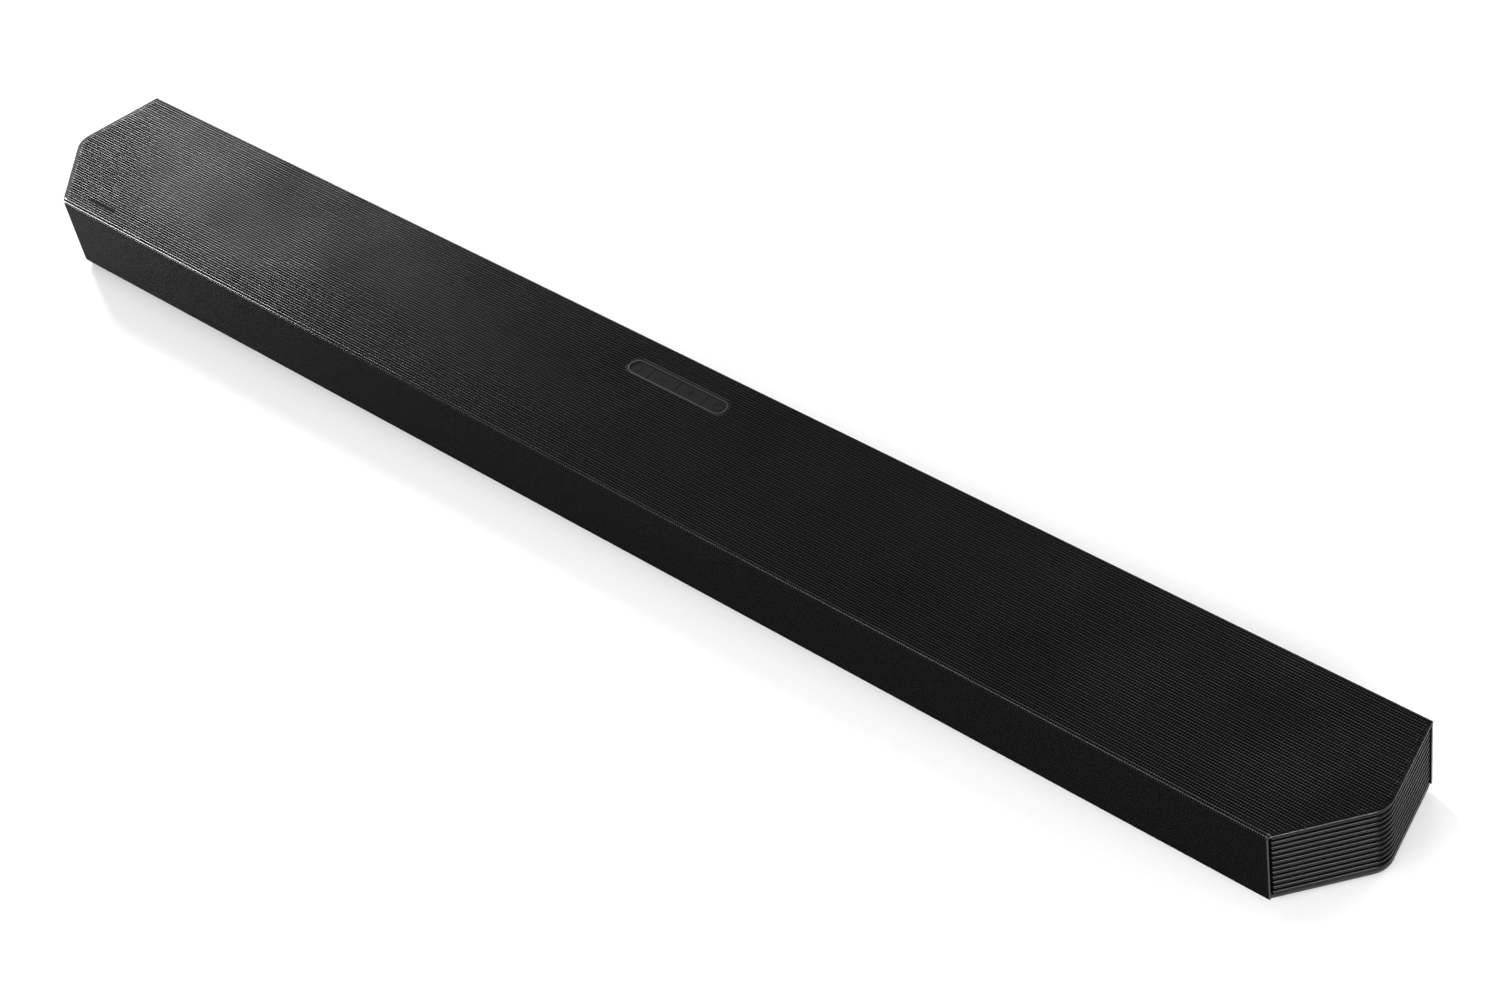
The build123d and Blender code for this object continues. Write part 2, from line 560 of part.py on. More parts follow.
def woofer(x):
    """A racetrack woofer's basket, magnet, cone and surround, with its axis at x."""
    back = Y_DRIVER + FLANGE
    plate = back + 12.5
    with BuildPart() as basket:
        with BuildSketch(front_plane(x, back)):
            RectangleRounded(WOOFER_FLANGE[0], WOOFER_FLANGE[1], 3.0)
            with GridLocations(WOOFER_SCREWS[0], WOOFER_SCREWS[1], 2, 2):
                Circle(CLEARANCE_RADIUS, mode=Mode.SUBTRACT)
        extrude(amount=FLANGE)
        extrude(racetrack(x, plate + FLANGE, 0), amount=plate + FLANGE - back)
        extrude(racetrack(x, plate, 1.5), amount=CUT, mode=Mode.SUBTRACT)
        with BuildSketch(front_plane(x, plate + FLANGE)):
            Circle(COIL_RADIUS + 2.0)
        extrude(amount=CUT, mode=Mode.SUBTRACT)
    magnet_front = plate + FLANGE
    with BuildPart() as magnet:
        with BuildSketch(front_plane(x, magnet_front + 18.0)):
            Circle(18.0)
        extrude(amount=18.0)
        with BuildSketch(front_plane(x, magnet_front + 14.0)):
            Circle(COIL_RADIUS + 2.0)
            Circle(COIL_RADIUS - 2.5, mode=Mode.SUBTRACT)
        extrude(amount=14.0, mode=Mode.SUBTRACT)
    rim = Y_DRIVER - AIR
    throat = rim + 8.0
    with BuildPart() as cone:
        with BuildSketch(front_plane(x, rim)):
            SlotOverall(WOOFER_LENGTH - 8, WOOFER_WIDTH - 8)
        with BuildSketch(front_plane(x, throat)):
            SlotOverall(2 * COIL_RADIUS + 6, 2 * COIL_RADIUS)
        loft()
        with BuildSketch(front_plane(x, rim - SKIN)):
            SlotOverall(WOOFER_LENGTH - 8, WOOFER_WIDTH - 8)
        with BuildSketch(front_plane(x, throat - SKIN)):
            SlotOverall(2 * COIL_RADIUS + 6, 2 * COIL_RADIUS)
        loft(mode=Mode.SUBTRACT)
        with BuildSketch(front_plane(x, magnet_front + 8.0)):
            Circle(COIL_RADIUS)
            Circle(COIL_RADIUS - SKIN, mode=Mode.SUBTRACT)
        extrude(amount=magnet_front + 8.0 - throat)
    with BuildPart() as surround:
        with BuildSketch(front_plane(x, Y_DRIVER)):
            SlotOverall(WOOFER_LENGTH - 1, WOOFER_WIDTH - 1)
            SlotOverall(WOOFER_LENGTH - 7.6, WOOFER_WIDTH - 7.6, mode=Mode.SUBTRACT)
        extrude(amount=0.6)
        with BuildSketch(front_plane(x, Y_DRIVER - 0.6)):
            SlotOverall(WOOFER_LENGTH - 2, WOOFER_WIDTH - 2)
            SlotOverall(WOOFER_LENGTH - 6.4, WOOFER_WIDTH - 6.4, mode=Mode.SUBTRACT)
        extrude(amount=1.2)
        fillet(surround.faces().sort_by(Axis.Y)[0].edges(), radius=0.8)
    return {"basket": basket, "magnet": magnet, "cone": cone, "surround": surround}


def turned(origin, direction, outlines):
    """A part turned about an axis, from closed outlines of (radius, distance along the axis)."""
    across = Vector(0, 1, 0) if abs(direction.Y) < 0.5 else Vector(0, 0, 1)
    across = (across - direction * across.dot(direction)).normalized()
    section = Plane(origin=origin, x_dir=across, z_dir=across.cross(direction))
    with BuildPart() as piece:
        with BuildSketch(section):
            for outline in outlines:
                with BuildLine():
                    Polyline(*outline, close=True)
                make_face()
        revolve(axis=Axis(origin, direction))
    return piece


def upfiring(x):
    """An up-firing driver's basket, magnet, cone and surround, about the upright axis through (x, 0)."""
    up = Vector(0, 0, 1)
    origin = Vector(x, 0, 0)
    flange = Z_FRAME - FLANGE
    seat = UPFIRING_RADIUS
    back = 34.0
    basket = turned(origin, up, [
        [(seat, flange), (UPFIRING_FLANGE, flange), (UPFIRING_FLANGE, Z_FRAME), (seat, Z_FRAME)],
        [(seat - 1.5, flange), (seat, flange), (21.5, back), (20.0, back)],
        [(COIL_RADIUS + 2, back - FLANGE), (21.5, back - FLANGE), (21.5, back), (COIL_RADIUS + 2, back)],
    ])
    with basket:
        rods([place for place in upfiring_screw_places() if place[0] * x > 0], CLEARANCE_RADIUS,
             (flange - AIR, Z_FRAME + AIR), mode=Mode.SUBTRACT)
    top = back - FLANGE
    magnet = turned(origin, up, [[
        (0, top - 18), (22, top - 18), (22, top), (COIL_RADIUS + 2, top), (COIL_RADIUS + 2, top - 14),
        (COIL_RADIUS - 2.5, top - 14), (COIL_RADIUS - 2.5, top), (0, top)]])
    throat = 43.0
    rim = flange
    cone = turned(origin, up, [
        [(COIL_RADIUS, throat - SKIN), (27, rim - SKIN), (27, rim), (COIL_RADIUS, throat)],
        [(0, throat), (COIL_RADIUS, throat - SKIN), (COIL_RADIUS, throat), (0, throat + SKIN)],
        [(COIL_RADIUS - SKIN, top - 6), (COIL_RADIUS, top - 6), (COIL_RADIUS, throat),
         (COIL_RADIUS - SKIN, throat)],
    ])
    with BuildPart() as surround:
        with BuildSketch(Plane(origin=origin, x_dir=(1, 0, 0), z_dir=(0, -1, 0))):
            with Locations((29.5, rim)):
                Circle(2.4)
                Circle(1.8, mode=Mode.SUBTRACT)
            with Locations((29.5, rim - 5)):
                Rectangle(10, 10, mode=Mode.SUBTRACT)
        revolve(axis=Axis(origin, up))
    return {"basket": basket, "magnet": magnet, "cone": cone, "surround": surround}


def front_tweeters():
    """The three tweeters' faceplates, magnets and domes, each kind as three solids."""
    with BuildPart() as plates:
        for x in TWEETER_X:
            with BuildSketch(front_plane(x, Y_DRIVER + FLANGE)):
                Circle(TWEETER_FLANGE)
                Circle(TWEETER_DOME + 0.6, mode=Mode.SUBTRACT)
                with Locations((-TWEETER_SCREW, 0), (TWEETER_SCREW, 0)):
                    Circle(CLEARANCE_RADIUS, mode=Mode.SUBTRACT)
            extrude(amount=FLANGE)
    with BuildPart() as magnets:
        for x in TWEETER_X:
            with BuildSketch(front_plane(x, Y_DRIVER + FLANGE + 14.0)):
                Circle(12.0)
            extrude(amount=14.0)
    ball = (TWEETER_DOME ** 2 + TWEETER_RISE ** 2) / (2 * TWEETER_RISE)
    base = Y_DRIVER + FLANGE
    with BuildPart() as domes:
        with Locations([(x, base - TWEETER_RISE + ball, DRIVER_Z) for x in TWEETER_X]):
            Sphere(ball)
        block((-BAFFLE_HALF, BAFFLE_HALF), (base, DEPTH), (0, HEIGHT), mode=Mode.SUBTRACT)
    return plates, magnets, domes


def side_driver():
    """The right side-firing driver's frame, magnet and cone, behind the end's front facet."""
    seat = facet_plane(CASE_INSET + WALL)
    inward = seat.z_dir
    origin = seat.origin
    with BuildPart() as frame:
        with BuildSketch(seat):
            RectangleRounded(2 * SIDE_RADIUS + 10, 2 * SIDE_RADIUS + 8, 3.0)
            Circle(SIDE_RADIUS - 1.0, mode=Mode.SUBTRACT)
        extrude(amount=FLANGE)
        with BuildSketch(seat):
            Circle(SIDE_RADIUS + 0.5)
            Circle(SIDE_RADIUS - 1.0, mode=Mode.SUBTRACT)
        extrude(amount=SIDE_DEPTH)
        with BuildSketch(seat.offset(SIDE_DEPTH)):
            Circle(SIDE_RADIUS + 0.5)
            Circle(SIDE_COIL + 1.5, mode=Mode.SUBTRACT)
        extrude(amount=1.5)
    back = SIDE_DEPTH + SIDE_PLATE
    slot_end = back + SIDE_SLOT
    magnet = turned(origin, inward, [[
        (0, back), (SIDE_COIL - SIDE_GAP, back), (SIDE_COIL - SIDE_GAP, slot_end),
        (SIDE_COIL + SIDE_PLATE, slot_end), (SIDE_COIL + SIDE_PLATE, back),
        (SIDE_MAGNET, back), (SIDE_MAGNET, back + SIDE_MAGNET_DEPTH), (0, back + SIDE_MAGNET_DEPTH)]])
    edge = SIDE_RADIUS - SIDE_GAP
    cone = turned(origin, inward, [
        [(SIDE_COIL, SIDE_NECK), (edge, SIDE_RIM), (edge, SIDE_RIM + SKIN), (SIDE_COIL, SIDE_NECK + SKIN)],
        [(0, SIDE_CAP), (SIDE_COIL, SIDE_NECK), (SIDE_COIL, SIDE_NECK + SKIN), (0, SIDE_CAP + SKIN)],
        [(SIDE_COIL - SKIN, SIDE_NECK), (SIDE_COIL, SIDE_NECK), (SIDE_COIL, back + SIDE_COIL_REACH),
         (SIDE_COIL - SKIN, back + SIDE_COIL_REACH)],
    ])
    return frame, magnet, cone


def port_tubes():
    """Two bass-reflex tubes, from inside the case out to the rear cover."""
    with BuildPart() as tubes:
        for x in (-PORT_X, PORT_X):
            with BuildSketch(front_plane(x, Y_BACK)):
                Circle(PORT_RADIUS + PORT_WALL)
                Circle(PORT_RADIUS, mode=Mode.SUBTRACT)
            extrude(amount=Y_BACK - PORT_START)
            with BuildSketch(front_plane(x, Y_CASE_BACK - WALL - AIR)):
                Circle(PORT_RADIUS + PORT_WALL + 2)
                Circle(PORT_RADIUS, mode=Mode.SUBTRACT)
            extrude(amount=2.0)
    return tubes


# ---------------------------------------------------------------- electronics


def main_board():
    """The board for sound and signals, with its chips, coils, capacitors and connectors."""
    (x0, x1), (y0, y1) = MAIN_BOARD
    with BuildPart() as board:
        block((x0, x1), (y0, y1), (BOARD_Z, BOARD_TOP))
        rods(MAIN_BOARD_HOLES, CLEARANCE_RADIUS, (0, HEIGHT), mode=Mode.SUBTRACT)
        block((142, 160), (-6, 12), (BOARD_TOP, BOARD_TOP + 1.6))
        block((166, 176), (-4, 6), (BOARD_TOP, BOARD_TOP + 1.2))
        block(AMPLIFIER_X, (-6, 12), (BOARD_TOP, AMPLIFIER_TOP))
        block((102, 128), (-9, -5), (BOARD_TOP, MODULE_Z))
        block(RIBBON_SOCKET_X, (22.5, 26), (BOARD_TOP, RIBBON_BOTTOM))
        block((125, 135), (14, 20), (BOARD_TOP, HARNESS_PLUG_Z))
        rods([(70 + 7 * place, 2) for place in range(4)], 2.5, (BOARD_TOP, BOARD_TOP + 6))
        rods([(166, 14), (176, 14)], 4.0, (BOARD_TOP, BOARD_TOP + 8))
    return board


def power_supply_board():
    """The mains board, with its transformer, capacitors, choke and fuse."""
    (x0, x1), (y0, y1) = POWER_BOARD
    with BuildPart() as board:
        block((x0, x1), (y0, y1), (BOARD_Z, BOARD_TOP))
        rods(POWER_BOARD_HOLES, CLEARANCE_RADIUS, (0, HEIGHT), mode=Mode.SUBTRACT)
        block((-150, -122), (-9, 15), (BOARD_TOP, BOARD_TOP + 22))
        block((-144, -128), (-11, 17), (BOARD_TOP, BOARD_TOP + 6))
        rods([(-178, -2), (-196, -2)], 8.0, (BOARD_TOP, BOARD_TOP + 25))
        rods([(-112, -4), (-112, 8)], 5.0, (BOARD_TOP, BOARD_TOP + 16))
        block((-228, -212), (-8, 8), (BOARD_TOP, BOARD_TOP + 14))
        block((-236, -214), (11, 16), (BOARD_TOP, BOARD_TOP + 6))
    return board


def heatsink():
    """A finned aluminium sink on the amplifier chip."""
    x0, x1 = AMPLIFIER_X
    with BuildPart() as sink:
        block((x0 - 4, x1 + 4), (-10, 16), (AMPLIFIER_TOP, AMPLIFIER_TOP + 3))
        with Locations(((x0 + x1) / 2, 3, AMPLIFIER_TOP + 3 + 7)):
            with GridLocations(5.0, 1.0, 9, 1):
                Box(1.4, 26, 14)
    return sink


def wireless_module():
    """A small radio board with a screening can, on its connector."""
    with BuildPart() as module:
        block((100, 130), (-10, 8), (MODULE_Z, MODULE_Z + 1.0))
        block((104, 126), (-6, 6), (MODULE_Z + 1.0, MODULE_Z + 3.2))
    return module


def power_inlet():
    """A two-pin inlet with a figure-of-eight socket, facing back into its bay."""
    front = BAY_FRONT - 10.5
    with BuildPart() as inlet:
        block((INLET_X - INLET_HALF_X, INLET_X + INLET_HALF_X), (front, BAY_FRONT),
              (INLET_Z - INLET_HALF_Z, INLET_Z + INLET_HALF_Z))
        block((INLET_X - INLET_HALF_X - 3, INLET_X + INLET_HALF_X + 3), (BAY_FRONT, BAY_FRONT + 1.5),
              (INLET_Z - INLET_HALF_Z - 2, INLET_Z + INLET_HALF_Z + 2))
        mouth = Plane(origin=(INLET_X, BAY_FRONT + 1.5, INLET_Z), x_dir=(1, 0, 0), z_dir=(0, -1, 0))
        with BuildSketch(mouth):
            SlotOverall(15.0, 8.8)
        extrude(amount=10.5, mode=Mode.SUBTRACT)
        with BuildSketch(mouth.offset(2.0)):
            with GridLocations(8.6, 1.0, 2, 1):
                Circle(1.2)
        extrude(amount=8.5)
    return inlet


def connector_plate():
    """The thin steel plate round the signal sockets."""
    with BuildPart() as plate:
        block((64, 186), (BAY_FRONT - WALL - 1.0, BAY_FRONT - WALL), (Z_FLOOR + 1.5, 29.0))
        for x in VIDEO_X:
            block((x - VIDEO_HALF_X - AIR, x + VIDEO_HALF_X + AIR), (0, BAY_FRONT),
                  (SOCKET_BASE - AIR, SOCKET_BASE + VIDEO_HIGH + AIR), mode=Mode.SUBTRACT)
        block((OPTICAL_X - 5 - AIR, OPTICAL_X + 5 + AIR), (0, BAY_FRONT),
              (SOCKET_BASE - AIR, SOCKET_BASE + 10 + AIR), mode=Mode.SUBTRACT)
    return plate


def video_sockets():
    """Two flat digital video sockets on the edge of the main board, each with its tongue."""
    end = BAY_FRONT - 1.0
    with BuildPart() as sockets:
        for x in VIDEO_X:
            block((x - VIDEO_HALF_X, x + VIDEO_HALF_X), (end - VIDEO_DEEP, end),
                  (SOCKET_BASE, SOCKET_BASE + VIDEO_HIGH))
            centre = (x, end, SOCKET_BASE + VIDEO_HIGH / 2)
            with BuildSketch(Plane(origin=centre, x_dir=(1, 0, 0), z_dir=(0, -1, 0))):
                Rectangle(2 * (VIDEO_HALF_X - VIDEO_WALL), VIDEO_HIGH - 2 * VIDEO_WALL)
                Rectangle(*VIDEO_TONGUE, mode=Mode.SUBTRACT)
            extrude(amount=VIDEO_MOUTH, mode=Mode.SUBTRACT)
    return sockets


def optical_socket():
    """The square optical audio socket."""
    end = BAY_FRONT - 1.0
    with BuildPart() as socket:
        block((OPTICAL_X - 5, OPTICAL_X + 5), (end - 13, end), (SOCKET_BASE, SOCKET_BASE + 10))
        block((OPTICAL_X - 3, OPTICAL_X + 3), (end - 8, end + AIR), (SOCKET_BASE + 2, SOCKET_BASE + 8),
              mode=Mode.SUBTRACT)
    return socket


def speaker_wire_harness():
    """The internal wire bundle: a run along the case and a drop to its plug on the main board."""
    y = 10.0
    z = 50.5
    with BuildPart() as harness:
        with BuildLine() as run:
            Line((-372, y, z), (372, y, z))
        with BuildSketch(Plane(origin=(-372, y, z), z_dir=(1, 0, 0))):
            Circle(HARNESS_RADIUS)
        sweep(path=run.wires()[0])
        with BuildLine() as drop:
            FilletPolyline((130, y, z), (130, y + 7, z), (130, y + 7, HARNESS_PLUG_Z), radius=5.0)
        with BuildSketch(Plane(origin=(130, y, z), z_dir=(0, 1, 0))):
            Circle(HARNESS_RADIUS - 0.5)
        sweep(path=drop.wires()[0])
    return harness


def ribbon_cable():
    """The flat cable from the button board down to the main board."""
    x0, x1 = RIBBON_SOCKET_X
    with BuildPart() as ribbon:
        block((x0 + 0.5, x1 - 0.5), (24.0, 24.5), (RIBBON_BOTTOM, BUTTON_BOARD_Z))
    return ribbon


# ---------------------------------------------------------------- fasteners


def wall_mount_inserts():
    """Two brass inserts in the floor, threaded for wall brackets."""
    with BuildPart() as inserts:
        rods(INSERTS, INSERT_RADIUS, (FOOT_HEIGHT, INSERT_TOP))
        rods(INSERTS, INSERT_BORE, (0, HEIGHT), mode=Mode.SUBTRACT)
    return inserts


def case_screws():
    """Screws through the floor into the posts of the top frame."""
    with BuildPart() as screws:
        rods(POSTS, CASE_HEAD_RADIUS, (FOOT_HEIGHT + AIR, CASE_HEAD_TOP))
        rods(POSTS, CASE_SCREW_RADIUS, (CASE_HEAD_TOP, CASE_SCREW_TOP))
        with BuildSketch(Plane.XY.offset(FOOT_HEIGHT)):
            with Locations(POSTS):
                Rectangle(3.4, 0.7)
                Rectangle(0.7, 3.4)
        extrude(amount=1.0, mode=Mode.SUBTRACT)
    return screws


def board_screws():
    """Screws that hold the two large boards down and the button board up."""
    with BuildPart() as screws:
        holes = MAIN_BOARD_HOLES + POWER_BOARD_HOLES
        rods(holes, HEAD_RADIUS, (BOARD_TOP, BOARD_TOP + HEAD_HEIGHT))
        rods(holes, PILOT_RADIUS, (BOARD_SCREW_END, BOARD_TOP))
        places = [(-BUTTON_POST_X, STRIP_Y), (BUTTON_POST_X, STRIP_Y)]
        screws_up(places, BUTTON_BOARD_Z, PILOT_RADIUS, BUTTON_SCREW_TOP - BUTTON_BOARD_Z)
    return screws


def driver_screws():
    """Screws that hold the front and up-firing drivers."""
    with BuildPart() as screws:
        for x, z in front_screw_places():
            plane = Plane(origin=(x, Y_DRIVER + FLANGE, z), x_dir=(1, 0, 0), z_dir=(0, -1, 0))
            with BuildSketch(plane):
                Circle(HEAD_RADIUS)
            extrude(amount=-HEAD_HEIGHT)
            with BuildSketch(plane):
                Circle(PILOT_RADIUS)
            extrude(amount=FLANGE + SCREW_BITE)
        screws_up(upfiring_screw_places(), Z_FRAME - FLANGE, PILOT_RADIUS,
                  UPFIRING_SCREW_TOP - Z_FRAME + FLANGE)
    return screws


# ---------------------------------------------------------------- every part, written out

os.makedirs("parts", exist_ok=True)

save(grille_shell(), "grille_shell")
save(grille_cloth(), "grille_cloth")
save(badge_plate(), "badge_plate")
save(top_frame(), "top_frame")
save(bottom_case(), "bottom_case")
save(rear_cover(), "rear_cover")
save(front_baffle(), "front_baffle")
save(rubber_feet(), "rubber_feet")

right_grille = end_grille()
save(right_grille, "end_grille_right")
with BuildPart() as left_grille:
    mirror(right_grille.part, about=Plane.YZ)
save(left_grille, "end_grille_left")

save(control_bezel(), "control_bezel")
KEY_SYMBOLS = (symbol_ring, symbol_minus, symbol_plus, symbol_open_ring)
for key_name, key_x, key_symbol in zip(KEY_NAMES, KEY_X, KEY_SYMBOLS):
    save(key(key_x, key_symbol), key_name)
save(button_board(), "button_board")
save(tactile_switches(), "tactile_switches")
save(ribbon_cable(), "ribbon_cable")

for side, driver_x in WOOFERS.items():
    for piece_name, piece in woofer(driver_x).items():
        save(piece, f"woofer_{piece_name}_{side}")
for side, driver_x in UPFIRING.items():
    for piece_name, piece in upfiring(driver_x).items():
        save(piece, f"upfiring_{piece_name}_{side}")
tweeter_plates, tweeter_magnets, tweeter_domes = front_tweeters()
save(tweeter_plates, "tweeter_faceplates")
save(tweeter_magnets, "tweeter_magnets")
save(tweeter_domes, "tweeter_domes")

side_frame, side_magnet, side_cone = side_driver()
save(side_frame, "side_driver_frame_right")
save(side_cone, "side_driver_cone_right")
with BuildPart() as left_side_frame:
    mirror(side_frame.part, about=Plane.YZ)
save(left_side_frame, "side_driver_frame_left")
with BuildPart() as left_side_cone:
    mirror(side_cone.part, about=Plane.YZ)
save(left_side_cone, "side_driver_cone_left")
with BuildPart() as side_magnets:
    add(side_magnet.part)
    mirror(side_magnet.part, about=Plane.YZ)
save(side_magnets, "side_driver_magnets")
save(port_tubes(), "port_tubes")

save(main_board(), "main_board")
save(power_supply_board(), "power_supply_board")
save(heatsink(), "heatsink")
save(wireless_module(), "wireless_module")
save(power_inlet(), "power_inlet")
save(connector_plate(), "connector_plate")
save(video_sockets(), "video_sockets")
save(optical_socket(), "optical_socket")
save(speaker_wire_harness(), "speaker_wire_harness")

save(wall_mount_inserts(), "wall_mount_inserts")
save(case_screws(), "case_screws")
save(board_screws(), "board_screws")
save(driver_screws(), "driver_screws")
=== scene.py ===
"""Looks for the soundbar: the perforated steel sheet as real mesh, a procedural material for
every part, and the studio. Blender works in metres; the sheet is laid out in millimetres.

The sheet is one strip bent along the front edge. A place on it is (x, s): x runs along the bar,
and s runs over the top from the back edge, round the bend and down the front.
"""
import json
import math

import bpy
import numpy as np
from mathutils import Matrix, Vector


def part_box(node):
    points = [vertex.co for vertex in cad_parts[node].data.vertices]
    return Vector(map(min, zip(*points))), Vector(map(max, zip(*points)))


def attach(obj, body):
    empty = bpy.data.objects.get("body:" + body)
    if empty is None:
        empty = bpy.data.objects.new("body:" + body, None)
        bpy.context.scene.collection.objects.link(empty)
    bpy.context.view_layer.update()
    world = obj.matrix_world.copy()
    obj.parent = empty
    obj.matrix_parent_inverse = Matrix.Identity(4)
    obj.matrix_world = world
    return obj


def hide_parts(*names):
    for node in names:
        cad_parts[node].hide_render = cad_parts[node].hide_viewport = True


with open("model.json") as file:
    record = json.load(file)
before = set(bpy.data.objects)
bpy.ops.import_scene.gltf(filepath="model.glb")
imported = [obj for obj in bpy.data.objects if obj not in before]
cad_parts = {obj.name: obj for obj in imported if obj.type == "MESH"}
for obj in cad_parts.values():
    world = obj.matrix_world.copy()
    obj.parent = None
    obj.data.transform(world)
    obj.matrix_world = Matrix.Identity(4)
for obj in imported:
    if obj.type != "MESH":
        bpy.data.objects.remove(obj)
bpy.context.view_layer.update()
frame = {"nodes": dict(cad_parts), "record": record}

MM = 0.001

# ---------------------------------------------------------------- sizes of the perforated sheet, mm

COLUMN_PITCH = 1.695    # hole to hole along the bar
TOP_PITCH = 1.91        # row to row on the top
FRONT_PITCH = 2.0       # row to row on the front
TOP_ROWS = 60
BEND_ROWS = 2
FRONT_ROWS = 26
SEGMENTS = 11           # the sheet's mesh is cut into this many pieces along the bar
SEGMENT_COLUMNS = 60    # columns of holes in each piece

HOLE_HALF = (0.52, 0.57)  # half a hole at the surface, along x and along s
HOLE_SIDES = 8
HOLE_FOOT = 0.72        # its size at the cloth, as a share, because the holes are countersunk
HOLE_DEPTH = 0.7
GROOVE = 0.3            # depth of the groove that a row of holes lies in
GROOVE_SHIFT = 0.04     # grooves lie in pairs: each is moved this far away from its partner

SHEET = 1.0             # thickness
BEND_RADIUS = 2.5       # outside radius of the bend along the front edge
EDGE_BEVEL = 0.45       # how far the rounded edge reaches out from the flat sheet
TOP_MARGIN = 3.3        # least distance from an end edge to the middle of a hole in the top
FRONT_MARGIN = 1.7      # the same in the front
STRIP_MARGIN = 0.9      # the same beside the control strip
PLAIN_EDGE = 0.5        # width along an end edge with no grooves
END_FADE = 0.9          # inside it, the width over which the grooves reach their full depth
OPENING_FADE = 0.5      # the same beside the control strip and the badge
RECESS_DEPTH = 0.7      # walls round the badge
RIM_LEAN = 0.5          # how far the shading normals at a hole's rim lean into the hole
WALL_LEAN = 0.3         # how far those at its foot still lean out of it

# Shine, a painted highlight and painted shade carried in the paint's colour, metal and smoothness:
# 0 in the holes, 1 on the ridges, 2 on the cut edges.
ROW_SHINE = (1.0, 0.93)     # every other row gets a little less painted highlight
RIDGE_SHINE = (1.0, 0.75)   # between two holes and in line with a hole
SLOPE_SHINE = (0.65, 0.25)  # the same on a groove's slopes
GROOVE_SHINE = (0.38, 0.0)  # and in the middle of a groove
RIM_SHINE = 0.08        # at the rim of a hole
MARGIN_SHINE = 0.7      # share of the shine that is left in the margin beside the holes
MARGIN_START = 0.6      # it starts to rise this far before TOP_MARGIN
MARGIN_FADE = 0.8       # and is full this much further in
FRONT_SHINE = 0.42      # share of the shine on the front, a painted shade that keeps the front darker than the top
BEND_SHINE = 1.5        # share of the shine on the bend, a painted highlight along the front edge

FRONT_HALF = 513.5      # half the length at the front edge
END_HALF = 556.7        # where an end's two facets would meet, before the corner is rounded
BACK_HALF = 543.0       # half the length at the back edge
END_SETBACK = 53.0      # from the front edge to the end corner
END_RADIUS = 18.0       # rounding of the end corner
STRIP_LENGTH = 83.0     # the control strip's rim
STRIP_WIDTH = 13.0
STRIP_MIDDLE = (0.0, 33.5)
FITTING_GAP = 0.1       # round the control strip and the badge
ROW_SLACK = 0.1         # how far off a line between rows still counts as on it
TINY = 1e-6             # the same for lines that are computed the same way twice

# A cut edge in steps from the sheet's face: how far out, how far down, and the shine there, a
# painted highlight on the rounded edge.
EDGE_PROFILE = [(0.0, 0.0, 0.1), (0.15, 0.03, 2.0), (0.32, 0.12, 2.0), (EDGE_BEVEL, 0.3, 1.6),
                (EDGE_BEVEL, SHEET, 0.1)]
PLAIN_PROFILE = [(out, down, 0.1) for out, down, _ in EDGE_PROFILE]
CUT_PROFILE = [(0.0, 0.0, 0.1), (0.0, SHEET, 0.0)]

# ---------------------------------------------------------------- studio sizes, m and W

FLOOR_HALF = 12.0
SKY_STRENGTH = 0.28
# Name, place, the point it faces, width and height, and power.
LIGHTS = [
    ("overhead", (-1.2, 0.14, 2.05), (0.0, 0.0, 0.0), (0.4, 2.4), 9.0),
    ("left_glow", (-2.4, 1.07, 1.57), (-0.5, 0.0, 0.06), (0.6, 0.7), 71.0),
    ("back_fill", (0.9, 2.1, 1.6), (0.0, 0.2, 0.0), (1.2, 1.2), 12.0),
    ("right_glow", (-0.36, 1.27, 1.9), (0.5, 0.0, 0.06), (0.7, 0.7), 6.5),
    ("front_fill", (-0.3, -1.9, 1.1), (0.1, -0.1, 0.0), (1.6, 0.5), 23.0),
    ("right_fill", (2.3, -1.0, 1.1), (0.5, 0.0, 0.0), (1.0, 0.4), 40.0),
    ("camera_fill", (1.7, -2.1, 2.5), (0.0, 0.0, 0.0), (2.2, 2.2), 56.0),
]
SHEET_LIGHT = ("front_glow", (-0.8, -0.41, 0.18), (-0.52, -0.06, 0.03), (0.3, 0.22), 1.35)
SHEET_LIGHT_SPREAD = math.radians(50.0)
CAMERA_LENS = 74.53     # mm, on a sensor 36 mm wide
CAMERA_PLACE = (1.1317, -0.9075, 1.4051)
CAMERA_RIGHT = (0.75042, 0.64467, -0.145845)
CAMERA_DOWN = (0.38597, -0.606534, -0.695085)
CAMERA_FORWARD = (-0.536561, 0.465313, -0.703979)

# ---------------------------------------------------------------- places read from the frame


def box_mm(node):
    """A CAD node's lowest and highest corner, in millimetres."""
    low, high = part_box(node)
    return np.array(low) / MM, np.array(high) / MM


shell_low, shell_high = box_mm("grille_shell")
badge_low, badge_high = box_mm("badge_plate")

Y_FRONT = shell_low[1]
Y_BACK = shell_high[1]
Z_TOP = shell_high[2]
Z_FOOT = shell_low[2]

TOP_LENGTH = Y_BACK - Y_FRONT - BEND_RADIUS
BEND_LENGTH = BEND_RADIUS * math.pi / 2
FRONT_LENGTH = Z_TOP - BEND_RADIUS - Z_FOOT
STRIP_TOTAL = TOP_LENGTH + BEND_LENGTH + FRONT_LENGTH


def section(s):
    """Where the sheet's outside is at a distance s along it: y, z, and the normal's y and z."""
    s = np.asarray(s, float)
    turn = np.clip((s - TOP_LENGTH) / BEND_RADIUS, 0.0, math.pi / 2)
    drop = np.clip(s - TOP_LENGTH - BEND_LENGTH, 0.0, None)
    back = np.clip(TOP_LENGTH - s, 0.0, None)
    y = Y_FRONT + BEND_RADIUS + back - BEND_RADIUS * np.sin(turn)
    z = Z_TOP - BEND_RADIUS + BEND_RADIUS * np.cos(turn) - drop
    return y, z, -np.sin(turn), np.cos(turn)


